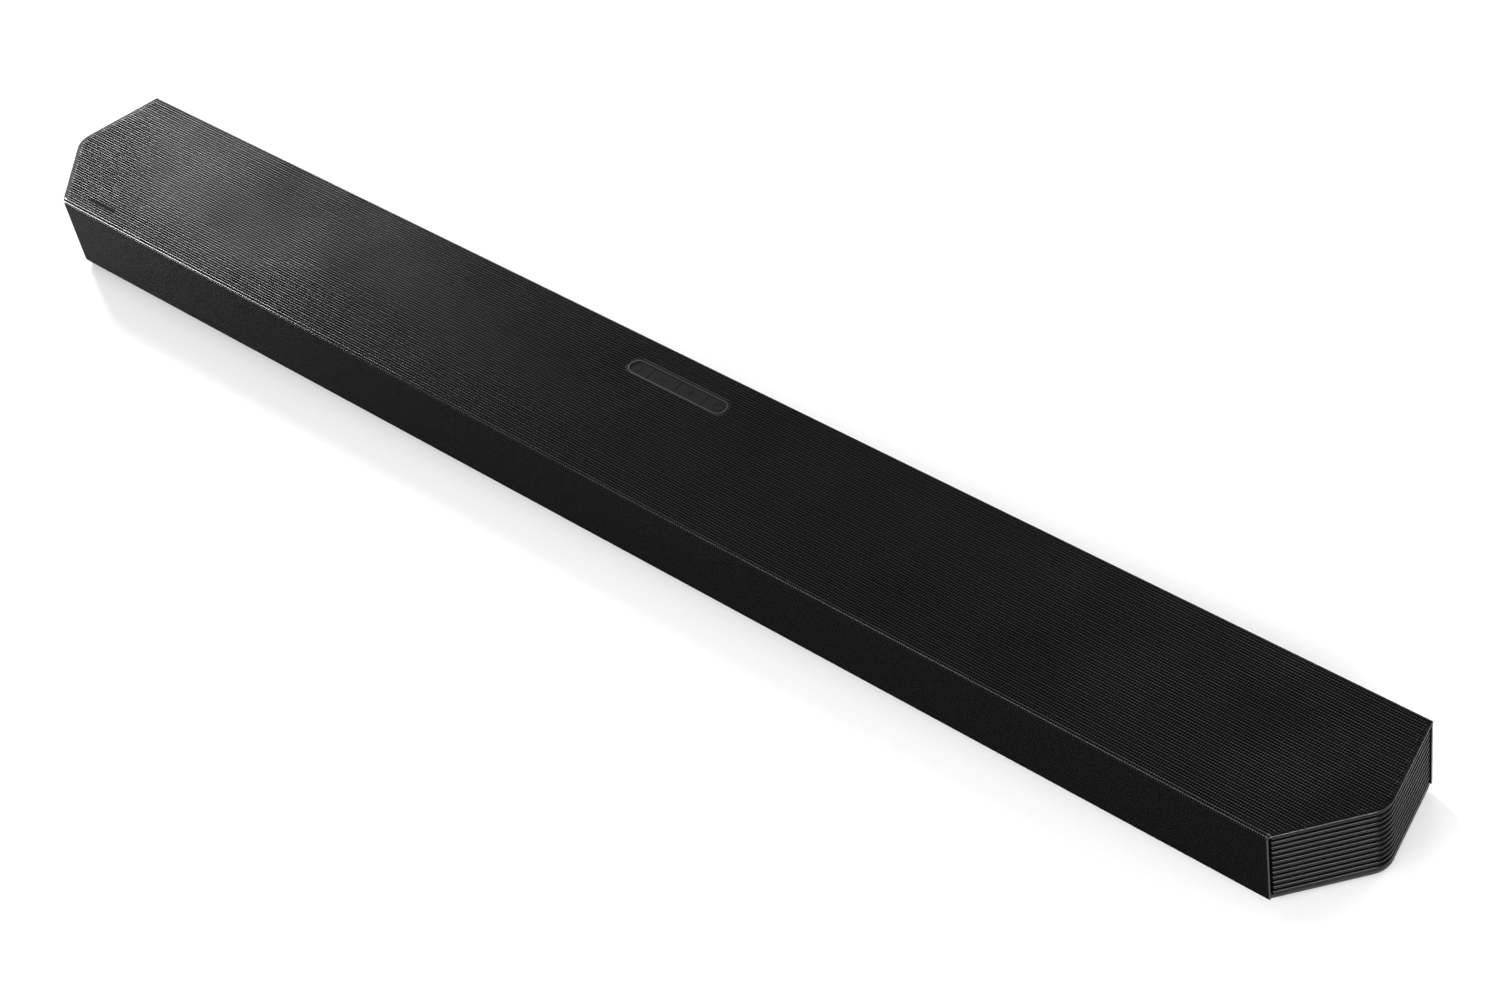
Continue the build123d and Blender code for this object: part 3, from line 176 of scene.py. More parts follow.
FRONT_SLOPE = math.atan2(END_HALF - FRONT_HALF, END_SETBACK)
BACK_SLOPE = math.atan2(END_HALF - BACK_HALF, Y_BACK - Y_FRONT - END_SETBACK)
FRONT_FACET = np.array([math.cos(FRONT_SLOPE), -math.sin(FRONT_SLOPE)])
BACK_FACET = np.array([math.cos(BACK_SLOPE), math.sin(BACK_SLOPE)])
END_CORNER = np.array([END_HALF, Y_FRONT + END_SETBACK])
CORNER_REACH = END_RADIUS / math.cos((FRONT_SLOPE + BACK_SLOPE) / 2)
CORNER_MIDDLE = END_CORNER - CORNER_REACH * (
    (FRONT_FACET + BACK_FACET) / np.linalg.norm(FRONT_FACET + BACK_FACET))


def end_distance(x, y):
    """How far a point of the outline's plane lies inside the nearer end of the bar."""
    x = np.abs(x)
    front = (END_CORNER[0] - x) * FRONT_FACET[0] + (END_CORNER[1] - y) * FRONT_FACET[1]
    back = (END_CORNER[0] - x) * BACK_FACET[0] + (END_CORNER[1] - y) * BACK_FACET[1]
    dx = x - CORNER_MIDDLE[0]
    dy = y - CORNER_MIDDLE[1]
    bearing = np.arctan2(dy, dx)
    in_corner = (bearing > -FRONT_SLOPE) & (bearing < BACK_SLOPE)
    return np.where(in_corner, END_RADIUS - np.hypot(dx, dy), np.minimum(front, back))


def end_outward(x, y):
    """The direction in plan in which the nearer end faces."""
    bearing = math.atan2(y - CORNER_MIDDLE[1], abs(x) - CORNER_MIDDLE[0])
    bearing = min(max(bearing, -FRONT_SLOPE), BACK_SLOPE)
    return np.array([math.copysign(math.cos(bearing), x), math.sin(bearing)])


def strip_distance(x, y):
    """How far a point lies outside the opening for the control strip."""
    half_run = (STRIP_LENGTH - STRIP_WIDTH) / 2
    along = np.maximum(np.abs(x - STRIP_MIDDLE[0]) - half_run, 0.0)
    return np.hypot(along, y - STRIP_MIDDLE[1]) - STRIP_WIDTH / 2 - FITTING_GAP


def badge_distance(x, y):
    """How far a point lies outside the badge's recess."""
    middle = (badge_low + badge_high) / 2
    half = (badge_high - badge_low) / 2 + FITTING_GAP
    dx = np.abs(x - middle[0]) - half[0]
    dy = np.abs(y - middle[1]) - half[1]
    outside = np.hypot(np.maximum(dx, 0), np.maximum(dy, 0))
    return np.where((dx < 0) & (dy < 0), np.maximum(dx, dy), outside)


def ease(value):
    """A smooth step from 0 to 1."""
    t = np.clip(value, 0.0, 1.0)
    return t * t * (3 - 2 * t)


def groove_share(x, s):
    """How much of the full groove depth the sheet has here: none near its edges and openings."""
    y = section(s)[0]
    near_end = ease((end_distance(x, y) - PLAIN_EDGE) / END_FADE)
    on_top = s < TOP_LENGTH
    near_strip = np.where(on_top, ease(strip_distance(x, y) / OPENING_FADE), 1.0)
    near_badge = np.where(on_top, ease(badge_distance(x, y) / OPENING_FADE), 1.0)
    return near_end * near_strip * near_badge


# ---------------------------------------------------------------- rows of the sheet


def shine(x, s, level):
    """How shiny the paint is at a place whose ridge or groove has the given level: painted
    highlight, stronger on the bend, and painted shade on the front.
    """
    y = section(s)[0]
    margin = ease((end_distance(x, y) - TOP_MARGIN + MARGIN_START) / MARGIN_FADE)
    beside_holes = np.where(s < TOP_LENGTH, MARGIN_SHINE + (1 - MARGIN_SHINE) * margin, 1.0)
    bend_start = TOP_LENGTH - ROW_SLACK
    on_bend = (s > bend_start) & (s < bend_start + BEND_LENGTH)
    region = np.where(s > TOP_LENGTH, FRONT_SHINE, 1.0)
    return level * beside_holes * np.where(on_bend, BEND_SHINE, region)


def row_edges():
    """Distances s of all the ridges between rows, from the back edge to the foot of the front."""
    first = TOP_LENGTH - TOP_ROWS * TOP_PITCH
    top = first + TOP_PITCH * np.arange(TOP_ROWS + 1)
    bend = TOP_LENGTH + BEND_LENGTH / BEND_ROWS * np.arange(1, BEND_ROWS + 1)
    front = TOP_LENGTH + BEND_LENGTH + FRONT_PITCH * np.arange(1, FRONT_ROWS + 1)
    return np.concatenate([[EDGE_BEVEL], top, bend, front, [STRIP_TOTAL - EDGE_BEVEL]])


EDGES = row_edges()
ROWS = len(EDGES) - 1


def place(x, s, depth=0.0):
    """Where points of the sheet are, as x, y and z in mm, sunk below its outside by a depth."""
    y, z, ny, nz = section(s)
    depth = np.asarray(depth, float)
    x = np.asarray(x, float)
    return np.stack(np.broadcast_arrays(x, y - ny * depth, z - nz * depth), -1)


def sheet_normal(s, like):
    """The sheet's outward normal at s, one for each item of like."""
    _, _, ny, nz = section(s)
    return np.stack(np.broadcast_arrays(np.zeros_like(like), ny, nz), -1)


class Mesh:
    """Vertices with their normals, and faces, gathered before they become a Blender mesh."""

    def __init__(self):
        self.points = []
        self.normals = []
        self.shine = []
        self.faces = []
        self.count = 0
        self.known = {}

    def add(self, points, normals, shine_values):
        """Adds an array of points and returns their indices."""
        points = np.asarray(points, float).reshape(-1, 3)
        self.points.append(points)
        self.normals.append(np.asarray(normals, float).reshape(-1, 3))
        self.shine.append(np.broadcast_to(np.ravel(shine_values), len(points)))
        start = self.count
        self.count += len(points)
        return np.arange(start, self.count)

    def one(self, key, point, normal, shine_value):
        """Adds a single point once, under a key."""
        if key not in self.known:
            self.known[key] = int(self.add([point], [normal], [shine_value])[0])
        return self.known[key]

    def build(self, name):
        """Makes the Blender object."""
        points = np.concatenate(self.points) * MM
        normals = np.concatenate(self.normals)
        used = np.zeros(len(points), bool)
        for group in self.faces:
            used[np.asarray(group).ravel()] = True
        new_index = np.cumsum(used) - 1
        groups = [np.asarray(group) for group in self.faces]
        loops = np.concatenate([new_index[group.ravel()] for group in groups])
        sizes = np.concatenate([np.full(len(group), group.shape[1]) for group in groups])
        starts = np.concatenate([[0], np.cumsum(sizes)[:-1]])
        mesh = bpy.data.meshes.new(name)
        mesh.vertices.add(int(used.sum()))
        mesh.vertices.foreach_set("co", points[used].astype(np.float32).ravel())
        mesh.loops.add(len(loops))
        mesh.loops.foreach_set("vertex_index", loops.astype(np.int32))
        mesh.polygons.add(len(sizes))
        mesh.polygons.foreach_set("loop_start", starts.astype(np.int32))
        mesh.update(calc_edges=True)
        attribute = mesh.attributes.new("shine", "FLOAT", "POINT")
        attribute.data.foreach_set("value", np.concatenate(self.shine)[used].astype(np.float32))
        mesh.validate()
        kept = normals[used]
        kept = kept / np.linalg.norm(kept, axis=1)[:, None]
        mesh.normals_split_custom_set_from_vertices(kept.tolist())
        piece = bpy.data.objects.new(name, mesh)
        bpy.context.scene.collection.objects.link(piece)
        return piece


AROUND = np.arange(HOLE_SIDES) * 2 * math.pi / HOLE_SIDES
# Steps on the lattice to a cell's edge points, counter-clockwise from +X. A cell is two steps
# wide and four long: ridge, slope, groove, slope, ridge.
LATTICE_RING = [(2, 2), (2, 1), (2, 0), (1, 0), (0, 0), (0, 1),
                (0, 2), (0, 3), (0, 4), (1, 4), (2, 4), (2, 3)]
RING_POINTS = len(LATTICE_RING)
# Which edge points stand outside which hole points: a quad at each, and a triangle at each slope.
RING_QUADS = [(0, 1, 1, 0), (2, 3, 2, 1), (3, 4, 3, 2), (5, 6, 4, 3), (6, 7, 5, 4), (8, 9, 6, 5),
              (9, 10, 7, 6), (11, 0, 0, 7)]
RING_TRIANGLES = [(1, 2, 1), (4, 5, 3), (7, 8, 5), (10, 11, 7)]


def lattice(segment):
    """x of the half-columns of one segment and s of all quarter-rows."""
    first = segment * SEGMENT_COLUMNS - SEGMENTS * SEGMENT_COLUMNS // 2
    x = COLUMN_PITCH * (first + np.arange(2 * SEGMENT_COLUMNS + 1) / 2)
    s = np.empty(4 * ROWS + 1)
    shift = GROOVE_SHIFT * np.where(np.arange(ROWS) % 2, 1.0, -1.0)
    shift[[0, -1]] = 0.0
    s[0::4] = EDGES
    s[2::4] = (EDGES[1:] + EDGES[:-1]) / 2 + shift
    s[1::2] = (s[:-1:2] + s[2::2]) / 2
    return x, s


def groove_depth(s, ridge, groove):
    """The groove's depth at s between a ridge line and the middle of the groove, and its slope."""
    share = (s - groove) / (ridge - groove)
    depth = GROOVE * np.cos(share * math.pi / 2) ** 2
    slope = -GROOVE * math.pi / 2 * np.sin(share * math.pi) / (ridge - groove)
    return depth, slope


def tilted(s, slope, like):
    """The sheet's normal where its surface sinks with s at the given slope."""
    _, _, ny, nz = section(s)
    zero = np.zeros_like(like)
    along = np.stack(np.broadcast_arrays(zero, -nz, ny), -1)
    return sheet_normal(s, like) + along * np.broadcast_to(slope, like.shape)[..., None]


def perforated_cells(mesh, ids, x, s, rows, columns):
    """The faces round and inside the holes of the given cells."""
    middle_x = x[2 * columns + 1][:, None]
    middle_s = s[4 * rows + 2][:, None]
    share = groove_share(middle_x, middle_s)
    hole_x = middle_x + HOLE_HALF[0] * np.cos(AROUND)
    hole_s = middle_s - HOLE_HALF[1] * np.sin(AROUND)
    ridge = np.where(np.sin(AROUND) > 0, s[4 * rows][:, None], s[4 * rows + 4][:, None])
    depth, slope = groove_depth(hole_s, ridge, middle_s)
    up = tilted(hole_s, share * slope, hole_x)
    _, _, ny, nz = section(hole_s)
    along = np.stack([np.zeros_like(hole_x), -nz, ny], -1)
    across = np.array([1.0, 0.0, 0.0])
    inward = -np.cos(AROUND)[:, None] * across + np.sin(AROUND)[None, :, None] * along
    # Rims and walls get little or no shine, a painted shade down into the hole.
    rim = place(hole_x, hole_s, share * depth)
    rim_ids = mesh.add(rim, up + RIM_LEAN * inward, RIM_SHINE).reshape(-1, HOLE_SIDES)
    foot_x = middle_x + HOLE_FOOT * HOLE_HALF[0] * np.cos(AROUND)
    foot_s = middle_s - HOLE_FOOT * HOLE_HALF[1] * np.sin(AROUND)
    foot = place(foot_x, foot_s, HOLE_DEPTH)
    foot_ids = mesh.add(foot, WALL_LEAN * up + inward, 0.0).reshape(-1, HOLE_SIDES)
    ring_ids = np.stack([ids[2 * columns + i, 4 * rows + j] for i, j in LATTICE_RING], -1)
    for a, b, *inner in RING_QUADS + RING_TRIANGLES:
        outer = [ring_ids[:, a], ring_ids[:, b]]
        mesh.faces.append(np.stack(outer + [rim_ids[:, c] for c in inner], -1))
    following = np.roll(np.arange(HOLE_SIDES), -1)
    walls = np.stack([rim_ids, rim_ids[:, following], foot_ids[:, following], foot_ids], -1)
    mesh.faces.append(walls.reshape(-1, 4))


def solid_cells(mesh, ids, rows, columns):
    """Cells with no hole, as fans round their middles."""
    ring_ids = np.stack([ids[2 * columns + i, 4 * rows + j] for i, j in LATTICE_RING], -1)
    middle = ids[2 * columns + 1, 4 * rows + 2][:, None].repeat(RING_POINTS, 1)
    following = np.roll(np.arange(RING_POINTS), -1)
    fans = np.stack([middle, ring_ids, ring_ids[:, following]], -1)
    mesh.faces.append(fans.reshape(-1, 3))


def edge_strip(mesh, ends, profile):
    """The cut edge below one piece of outline. Each end is (key, point, normal, outward)."""
    rings = []
    for key, point, normal, outward in ends:
        ring = []
        for step, (out, down, step_shine) in enumerate(profile):
            ahead = profile[min(step + 1, len(profile) - 1)]
            behind = profile[max(step - 1, 0)]
            run = ahead[0] - behind[0]
            fall = ahead[1] - behind[1]
            tilt = normal * max(run, TINY) + outward * fall
            tilt = normal if step == 0 and run > 0 else tilt
            spot = point + outward * out - normal * down
            ring.append(mesh.one((*key, step, len(profile)), spot, tilt, step_shine))
        rings.append(ring)
    first, second = rings
    for step in range(len(profile) - 1):
        mesh.faces.append([[first[step], first[step + 1], second[step + 1], second[step]]])


def outward_on_sheet(x, s, in_plan):
    """A direction in plan laid onto the sheet's surface, so that it doesn't leave the sheet."""
    normal = sheet_normal(s, np.zeros(1))[0]
    flat = np.array([in_plan[0], in_plan[1], 0.0])
    flat = flat - normal * (flat @ normal)
    return flat / np.linalg.norm(flat)


def cut_cell(mesh, ids, x, s, row, column, distance, outward, profile):
    """A cell that an outline crosses: its part inside, and the cut edge under the outline."""
    corner_ids = [int(ids[2 * column + i, 4 * row + j]) for i, j in LATTICE_RING]
    corners = [(x[2 * column + i], s[4 * row + j]) for i, j in LATTICE_RING]
    values = [float(distance(px, section(ps)[0])) for px, ps in corners]
    outline = []
    for k, (point, value) in enumerate(zip(corners, values)):
        ahead, next_value = corners[(k + 1) % RING_POINTS], values[(k + 1) % RING_POINTS]
        if value >= 0:
            outline.append((*point, corner_ids[k]))
        if (value >= 0) != (next_value >= 0):
            share = value / (value - next_value)
            crossing = [a + (b - a) * share for a, b in zip(point, ahead)]
            outline.append((*crossing, None))
    if len(outline) < 3:
        return
    entries = []
    loop = []
    for px, ps, corner in outline:
        point = place(px, ps, 0.0)
        normal = sheet_normal(ps, np.zeros(1))[0]
        key = ("cut", round(float(px), 4), round(float(ps), 4))
        entries.append((key, point, normal, px, ps, corner))
        if corner is None:
            corner = mesh.one((*key, 0, len(profile)), point, normal, profile[0][2])
        loop.append(corner)
    mesh.faces.append([loop])
    for k, first in enumerate(entries):
        second = entries[(k + 1) % len(entries)]
        if first[5] is None and second[5] is None:
            ends = []
            for key, point, normal, px, ps, _ in (first, second):
                in_plan = outward(px, float(section(ps)[0]))
                direction = outward_on_sheet(px, ps, in_plan)
                ends.append((key, point, normal, mitred(direction, ps)))
            edge_strip(mesh, ends, profile)


def mitred(direction, s):
    """An end's outward direction, leaning out both ways at the sheet's back edge and foot."""
    if s < EDGES[0] + TINY:
        across = np.array([0.0, 1.0, 0.0])
    elif s > EDGES[-1] - TINY:
        across = np.array([0.0, 0.0, -1.0])
    else:
        return direction
    share = direction @ across
    return (direction * (1 - share) + across * (1 - share)) / (1 - share * share)


def straight_edge(mesh, x, s, column, j, outward):
    """The cut edge along the back of the top or the foot of the front, below one column."""
    steps = (0, 1, 2) if j else (2, 1, 0)
    ends = []
    for i in steps:
        px, ps = x[2 * column + i], s[j]
        key = ("cut", round(float(px), 4), round(float(ps), 4))
        ends.append((key, place(px, ps), sheet_normal(ps, np.zeros(1))[0], outward))
    for first, second in zip(ends, ends[1:]):
        edge_strip(mesh, [first, second], PLAIN_PROFILE)


def badge_walls(mesh, x, s, columns, rows):
    """The walls of the badge's recess, round the cells that are left out."""
    x_ends = (x[2 * columns.min()], x[2 * columns.max() + 2])
    s_ends = (s[4 * rows.min()], s[4 * rows.max() + 4])
    corners = [(x_ends[i], s_ends[j]) for i, j in ((0, 0), (1, 0), (1, 1), (0, 1))]
    middle = place(sum(x_ends) / 2, sum(s_ends) / 2)
    for first, second in zip(corners, corners[1:] + corners[:1]):
        a, b = place(*first), place(*second)
        inward = np.cross(b - a, [0.0, 0.0, 1.0])
        inward = inward * np.sign(inward @ (middle - a))
        sunk = np.array([0.0, 0.0, -RECESS_DEPTH])
        quad = [a, b, b + sunk, a + sunk]
        if np.cross(quad[1] - quad[0], quad[2] - quad[0]) @ inward < 0:
            quad.reverse()
        # The walls get no shine, a painted shade in the recess.
        mesh.faces.append([mesh.add(quad, [inward] * 4, 0.0)])


def inside_end(x, y):
    """The end outline, drawn in by the bevel of the sheet's edge."""
    return end_distance(x, y) - EDGE_BEVEL


def strip_outward(x, y):
    """The direction from the sheet into the strip's opening."""
    half_run = (STRIP_LENGTH - STRIP_WIDTH) / 2
    near = np.array([min(max(x, -half_run), half_run), STRIP_MIDDLE[1]])
    towards = near - np.array([x, y])
    return towards / np.linalg.norm(towards)


def add_lattice(mesh, x, s):
    """The sheet's grooved surface at every lattice point, as an array of vertex numbers."""
    grid_x, grid_s = np.meshgrid(x, s, indexing="ij")
    step = np.arange(len(s)) % 4
    line = np.arange(len(s))
    nearest_ridge = np.where(step == 3, line + 1, line - step % 2)
    nearest_groove = np.where(step == 0, np.minimum(line + 2, len(s) - 3), line + (2 - step))
    depth, slope = groove_depth(s, s[nearest_ridge - 2 * (step == 2)], s[nearest_groove])
    slope[step == 2] = 0.0
    share = groove_share(grid_x, grid_s)
    # Painted highlight on the ridges, less on the slopes, painted shade in the grooves.
    levels = np.array([RIDGE_SHINE, SLOPE_SHINE, GROOVE_SHINE, SLOPE_SHINE])
    in_line = np.arange(len(x)) % 2
    level = levels[step, in_line[:, None]] * np.where(nearest_ridge // 4 % 2, *ROW_SHINE)
    ids = mesh.add(place(grid_x, grid_s, share * depth), tilted(grid_s, share * slope, grid_x),
                   shine(grid_x, grid_s, level))
    return ids.reshape(len(x), len(s))


def sorted_cells(x, s):
    """Every cell's column and row, and for each kind of cell which of them belong to it."""
    columns, rows = np.meshgrid(np.arange(SEGMENT_COLUMNS), np.arange(ROWS), indexing="ij")
    columns, rows = columns.ravel(), rows.ravel()
    x_low, x_mid, x_high = x[2 * columns], x[2 * columns + 1], x[2 * columns + 2]
    s_low, s_mid, s_high = s[4 * rows], s[4 * rows + 2], s[4 * rows + 4]
    around = [(px, section(ps)[0]) for px in (x_low, x_high) for ps in (s_low, s_high)]
    end_inside = np.stack([inside_end(px, py) >= 0 for px, py in around])
    on_top = s_mid < TOP_LENGTH
    strip_outside = ~on_top | np.stack([strip_distance(px, py) >= 0 for px, py in around])
    middle_y = section(s_mid)[0]
    in_badge = on_top & (badge_distance(x_mid, middle_y) < 0)

    inside = end_inside.all(0) & strip_outside.all(0) & ~in_badge
    has_row = (rows > 0) & (rows < ROWS - 1)
    clear_end = end_distance(x_mid, middle_y) >= np.where(on_top, TOP_MARGIN, FRONT_MARGIN)
    clear_strip = ~on_top | (strip_distance(x_mid, middle_y) >= STRIP_MARGIN)
    holed = inside & has_row & clear_end & clear_strip
    whole = end_inside.all(0)
    kinds = {
        "holed": holed,
        "plain": inside & ~holed,
        "crosses_end": end_inside.any(0) & ~whole,
        "crosses_strip": strip_outside.any(0) & ~strip_outside.all(0),
        "badge": in_badge,
        "back": whole & (rows == 0),
        "foot": whole & (rows == ROWS - 1),
    }
    return columns, rows, kinds


def grille_segment(segment):
    """One length of the bent perforated sheet."""
    mesh = Mesh()
    x, s = lattice(segment)
    ids = add_lattice(mesh, x, s)
    columns, rows, kinds = sorted_cells(x, s)

    def cells(kind):
        """The columns and rows of one kind of cell."""
        return columns[kinds[kind]], rows[kinds[kind]]

    holed_columns, holed_rows = cells("holed")
    perforated_cells(mesh, ids, x, s, holed_rows, holed_columns)
    if kinds["plain"].any():
        plain_columns, plain_rows = cells("plain")
        solid_cells(mesh, ids, plain_rows, plain_columns)
    for column, row in zip(*cells("crosses_end")):
        cut_cell(mesh, ids, x, s, row, column, inside_end, end_outward, EDGE_PROFILE)
    for column, row in zip(*cells("crosses_strip")):
        cut_cell(mesh, ids, x, s, row, column, strip_distance, strip_outward, CUT_PROFILE)
    if kinds["badge"].any():
        badge_walls(mesh, x, s, *cells("badge"))
    for column in cells("back")[0]:
        straight_edge(mesh, x, s, column, 0, np.array([0.0, 1.0, 0.0]))
    for column in cells("foot")[0]:
        straight_edge(mesh, x, s, column, len(s) - 1, np.array([0.0, 0.0, -1.0]))
    return mesh.build(f"grille_sheet_{segment + 1:02d}")


# ---------------------------------------------------------------- materials

WAVE_PERIOD = 0.314     # what one wave of Blender's wave texture measures at scale 1


def new_material(name):
    """A node material that holds nothing but its Principled shader and its output."""
    material = bpy.data.materials.new(name)
    material.use_nodes = True
    nodes = material.node_tree.nodes
    nodes.clear()
    out = nodes.new("ShaderNodeOutputMaterial")
    shader = nodes.new("ShaderNodeBsdfPrincipled")
    material.node_tree.links.new(shader.outputs["BSDF"], out.inputs["Surface"])
    return material, shader


def noise(tree, size, detail=3.0, stretch=(1.0, 1.0, 1.0)):
    """Noise whose features are about the given size in mm, longer along stretched axes."""
    coordinates = tree.nodes.new("ShaderNodeTexCoord")
    mapping = tree.nodes.new("ShaderNodeMapping")
    mapping.inputs["Scale"].default_value = [1 / share for share in stretch]
    texture = tree.nodes.new("ShaderNodeTexNoise")
    texture.inputs["Scale"].default_value = 1 / (size * MM)
    texture.inputs["Detail"].default_value = detail
    tree.links.new(coordinates.outputs["Object"], mapping.inputs["Vector"])
    tree.links.new(mapping.outputs["Vector"], texture.inputs["Vector"])
    return texture.outputs["Fac"]


def weave(tree, pitch):
    """Threads crossing at right angles in plan, a pitch in mm apart."""
    coordinates = tree.nodes.new("ShaderNodeTexCoord")
    bands = []
    for axis in ("X", "Y"):
        wave = tree.nodes.new("ShaderNodeTexWave")
        wave.bands_direction = axis
        wave.inputs["Scale"].default_value = WAVE_PERIOD / (pitch * MM)
        wave.inputs["Distortion"].default_value = 0.6
        wave.inputs["Detail"].default_value = 1.0
        tree.links.new(coordinates.outputs["Object"], wave.inputs["Vector"])
        bands.append(wave.outputs["Fac"])
    cross = tree.nodes.new("ShaderNodeMath")
    cross.operation = "MAXIMUM"
    tree.links.new(bands[0], cross.inputs[0])
    tree.links.new(bands[1], cross.inputs[1])
    return cross.outputs["Value"]


def ramp(tree, source, low, high, start=0.3, end=0.7):
    """A value or colour that runs from low to high as the source runs from start to end."""
    node = tree.nodes.new("ShaderNodeMapRange")
    node.inputs["From Min"].default_value = start
    node.inputs["From Max"].default_value = end
    node.inputs["To Min"].default_value = low
    node.inputs["To Max"].default_value = high
    tree.links.new(source, node.inputs["Value"])
    return node.outputs["Result"]


def tint(tree, source, dark, light, start=0.3, end=0.7):
    """A colour between two, chosen by the source."""
    node = tree.nodes.new("ShaderNodeValToRGB")
    node.color_ramp.elements[0].position = start
    node.color_ramp.elements[0].color = (*dark, 1.0)
    node.color_ramp.elements[1].position = end
    node.color_ramp.elements[1].color = (*light, 1.0)
    tree.links.new(source, node.inputs["Fac"])
    return node.outputs["Color"]


def bumps(tree, layers):
    """Bumps of several sources on top of each other. Each layer is (source, height in mm)."""
    last = None
    for source, height in layers:
        node = tree.nodes.new("ShaderNodeBump")
        node.inputs["Strength"].default_value = 1.0
        node.inputs["Distance"].default_value = height * MM
        tree.links.new(source, node.inputs["Height"])
        if last is not None:
            tree.links.new(last, node.inputs["Normal"])
        last = node.outputs["Normal"]
    return last


def surface(name, dark, light, rough, metallic=0.0, specular=0.5, grain=0.4, grain_height=0.01,
            stretch=(1.0, 1.0, 1.0), mottle=25.0, sheen=0.0, coat=0.0, thread=None):
    """A material made of fine grain over slow mottling.

    dark and light are the colours that the mottling runs between, and rough the two roughnesses.
    grain is the size of the fine texture and grain_height its relief, mottle the size of the slow
    texture, and thread, where there is one, the pitch of a weave, all in mm.
    """
    material, shader = new_material(name)
    tree = material.node_tree
    fine = noise(tree, grain, 4.0, stretch)
    slow = noise(tree, mottle, 3.0, stretch)
    shader.inputs["Metallic"].default_value = metallic
    shader.inputs["Specular IOR Level"].default_value = specular
    if sheen:
        shader.inputs["Sheen Weight"].default_value = sheen
        shader.inputs["Sheen Roughness"].default_value = 0.5
    if coat:
        shader.inputs["Coat Weight"].default_value = coat
        shader.inputs["Coat Roughness"].default_value = 0.25
    layers = [(fine, grain_height)]
    blend = tree.nodes.new("ShaderNodeMix")
    blend.data_type = "FLOAT"
    blend.inputs["Factor"].default_value = 0.45
    tree.links.new(slow, blend.inputs["A"])
    tree.links.new(fine, blend.inputs["B"])
    mixed = blend.outputs["Result"]
    colour_source = mixed
    if thread:
        threads = weave(tree, thread)
        layers.insert(0, (threads, 0.3 * thread))
        weigh = tree.nodes.new("ShaderNodeMix")
        weigh.data_type = "FLOAT"
        weigh.inputs["Factor"].default_value = 0.6
        tree.links.new(mixed, weigh.inputs["A"])
        tree.links.new(threads, weigh.inputs["B"])
        colour_source = weigh.outputs["Result"]
    tree.links.new(tint(tree, colour_source, dark, light), shader.inputs["Base Color"])
    tree.links.new(ramp(tree, mixed, *rough), shader.inputs["Roughness"])
    tree.links.new(bumps(tree, layers), shader.inputs["Normal"])
    return material


def paint_with_painted_sheen(name, groove, ridge, edge, groove_rough, ridge_rough, specular):
    """Black paint with painted highlight and painted shade: matt and near black in the grooves,
    bright, metallic and smooth on the ridges and cut edges.
    """
    material, shader = new_material(name)
    tree = material.node_tree
    attribute = tree.nodes.new("ShaderNodeAttribute")
    attribute.attribute_name = "shine"
    fine = noise(tree, 0.3, 4.0)
    slow = noise(tree, 60.0, 3.0)
    # The shine's painted highlight and shade, varied by slow random mottling.
    mottled_painted_sheen = tree.nodes.new("ShaderNodeMath")
    mottled_painted_sheen.operation = "MULTIPLY"
    tree.links.new(attribute.outputs["Fac"], mottled_painted_sheen.inputs[0])
    tree.links.new(ramp(tree, slow, 0.88, 1.08), mottled_painted_sheen.inputs[1])
    grained = tree.nodes.new("ShaderNodeMath")
    grained.operation = "MULTIPLY"
    tree.links.new(mottled_painted_sheen.outputs["Value"], grained.inputs[0])
    tree.links.new(ramp(tree, fine, 0.8, 1.15), grained.inputs[1])
    level = grained.outputs["Value"]
    halved = ramp(tree, level, 0.0, 1.0, 0.0, 2.0)
    # Colours from the grooves' painted shade to the ridges' and edges' painted highlight.
    colours = tree.nodes.new("ShaderNodeValToRGB")
    colours.color_ramp.elements[0].color = (*groove, 1.0)
    colours.color_ramp.elements[1].color = (*edge, 1.0)
    colours.color_ramp.elements.new(0.19).color = (*groove, 1.0)
    colours.color_ramp.elements.new(0.5).color = (*ridge, 1.0)
    tree.links.new(halved, colours.inputs["Fac"])
    tree.links.new(colours.outputs["Color"], shader.inputs["Base Color"])
    roughness = ramp(tree, level, groove_rough, ridge_rough, 0.0, 1.0)
    tree.links.new(roughness, shader.inputs["Roughness"])
    tree.links.new(ramp(tree, level, 0.0, 1.0, 0.35, 0.8), shader.inputs["Metallic"])
    tree.links.new(bumps(tree, [(fine, 0.004)]), shader.inputs["Normal"])
    shader.inputs["Specular IOR Level"].default_value = specular
    return material


def grey(level, blue=1.0):
    """A neutral colour, slightly cooler where blue is above 1."""
    return (level, level, level * blue)


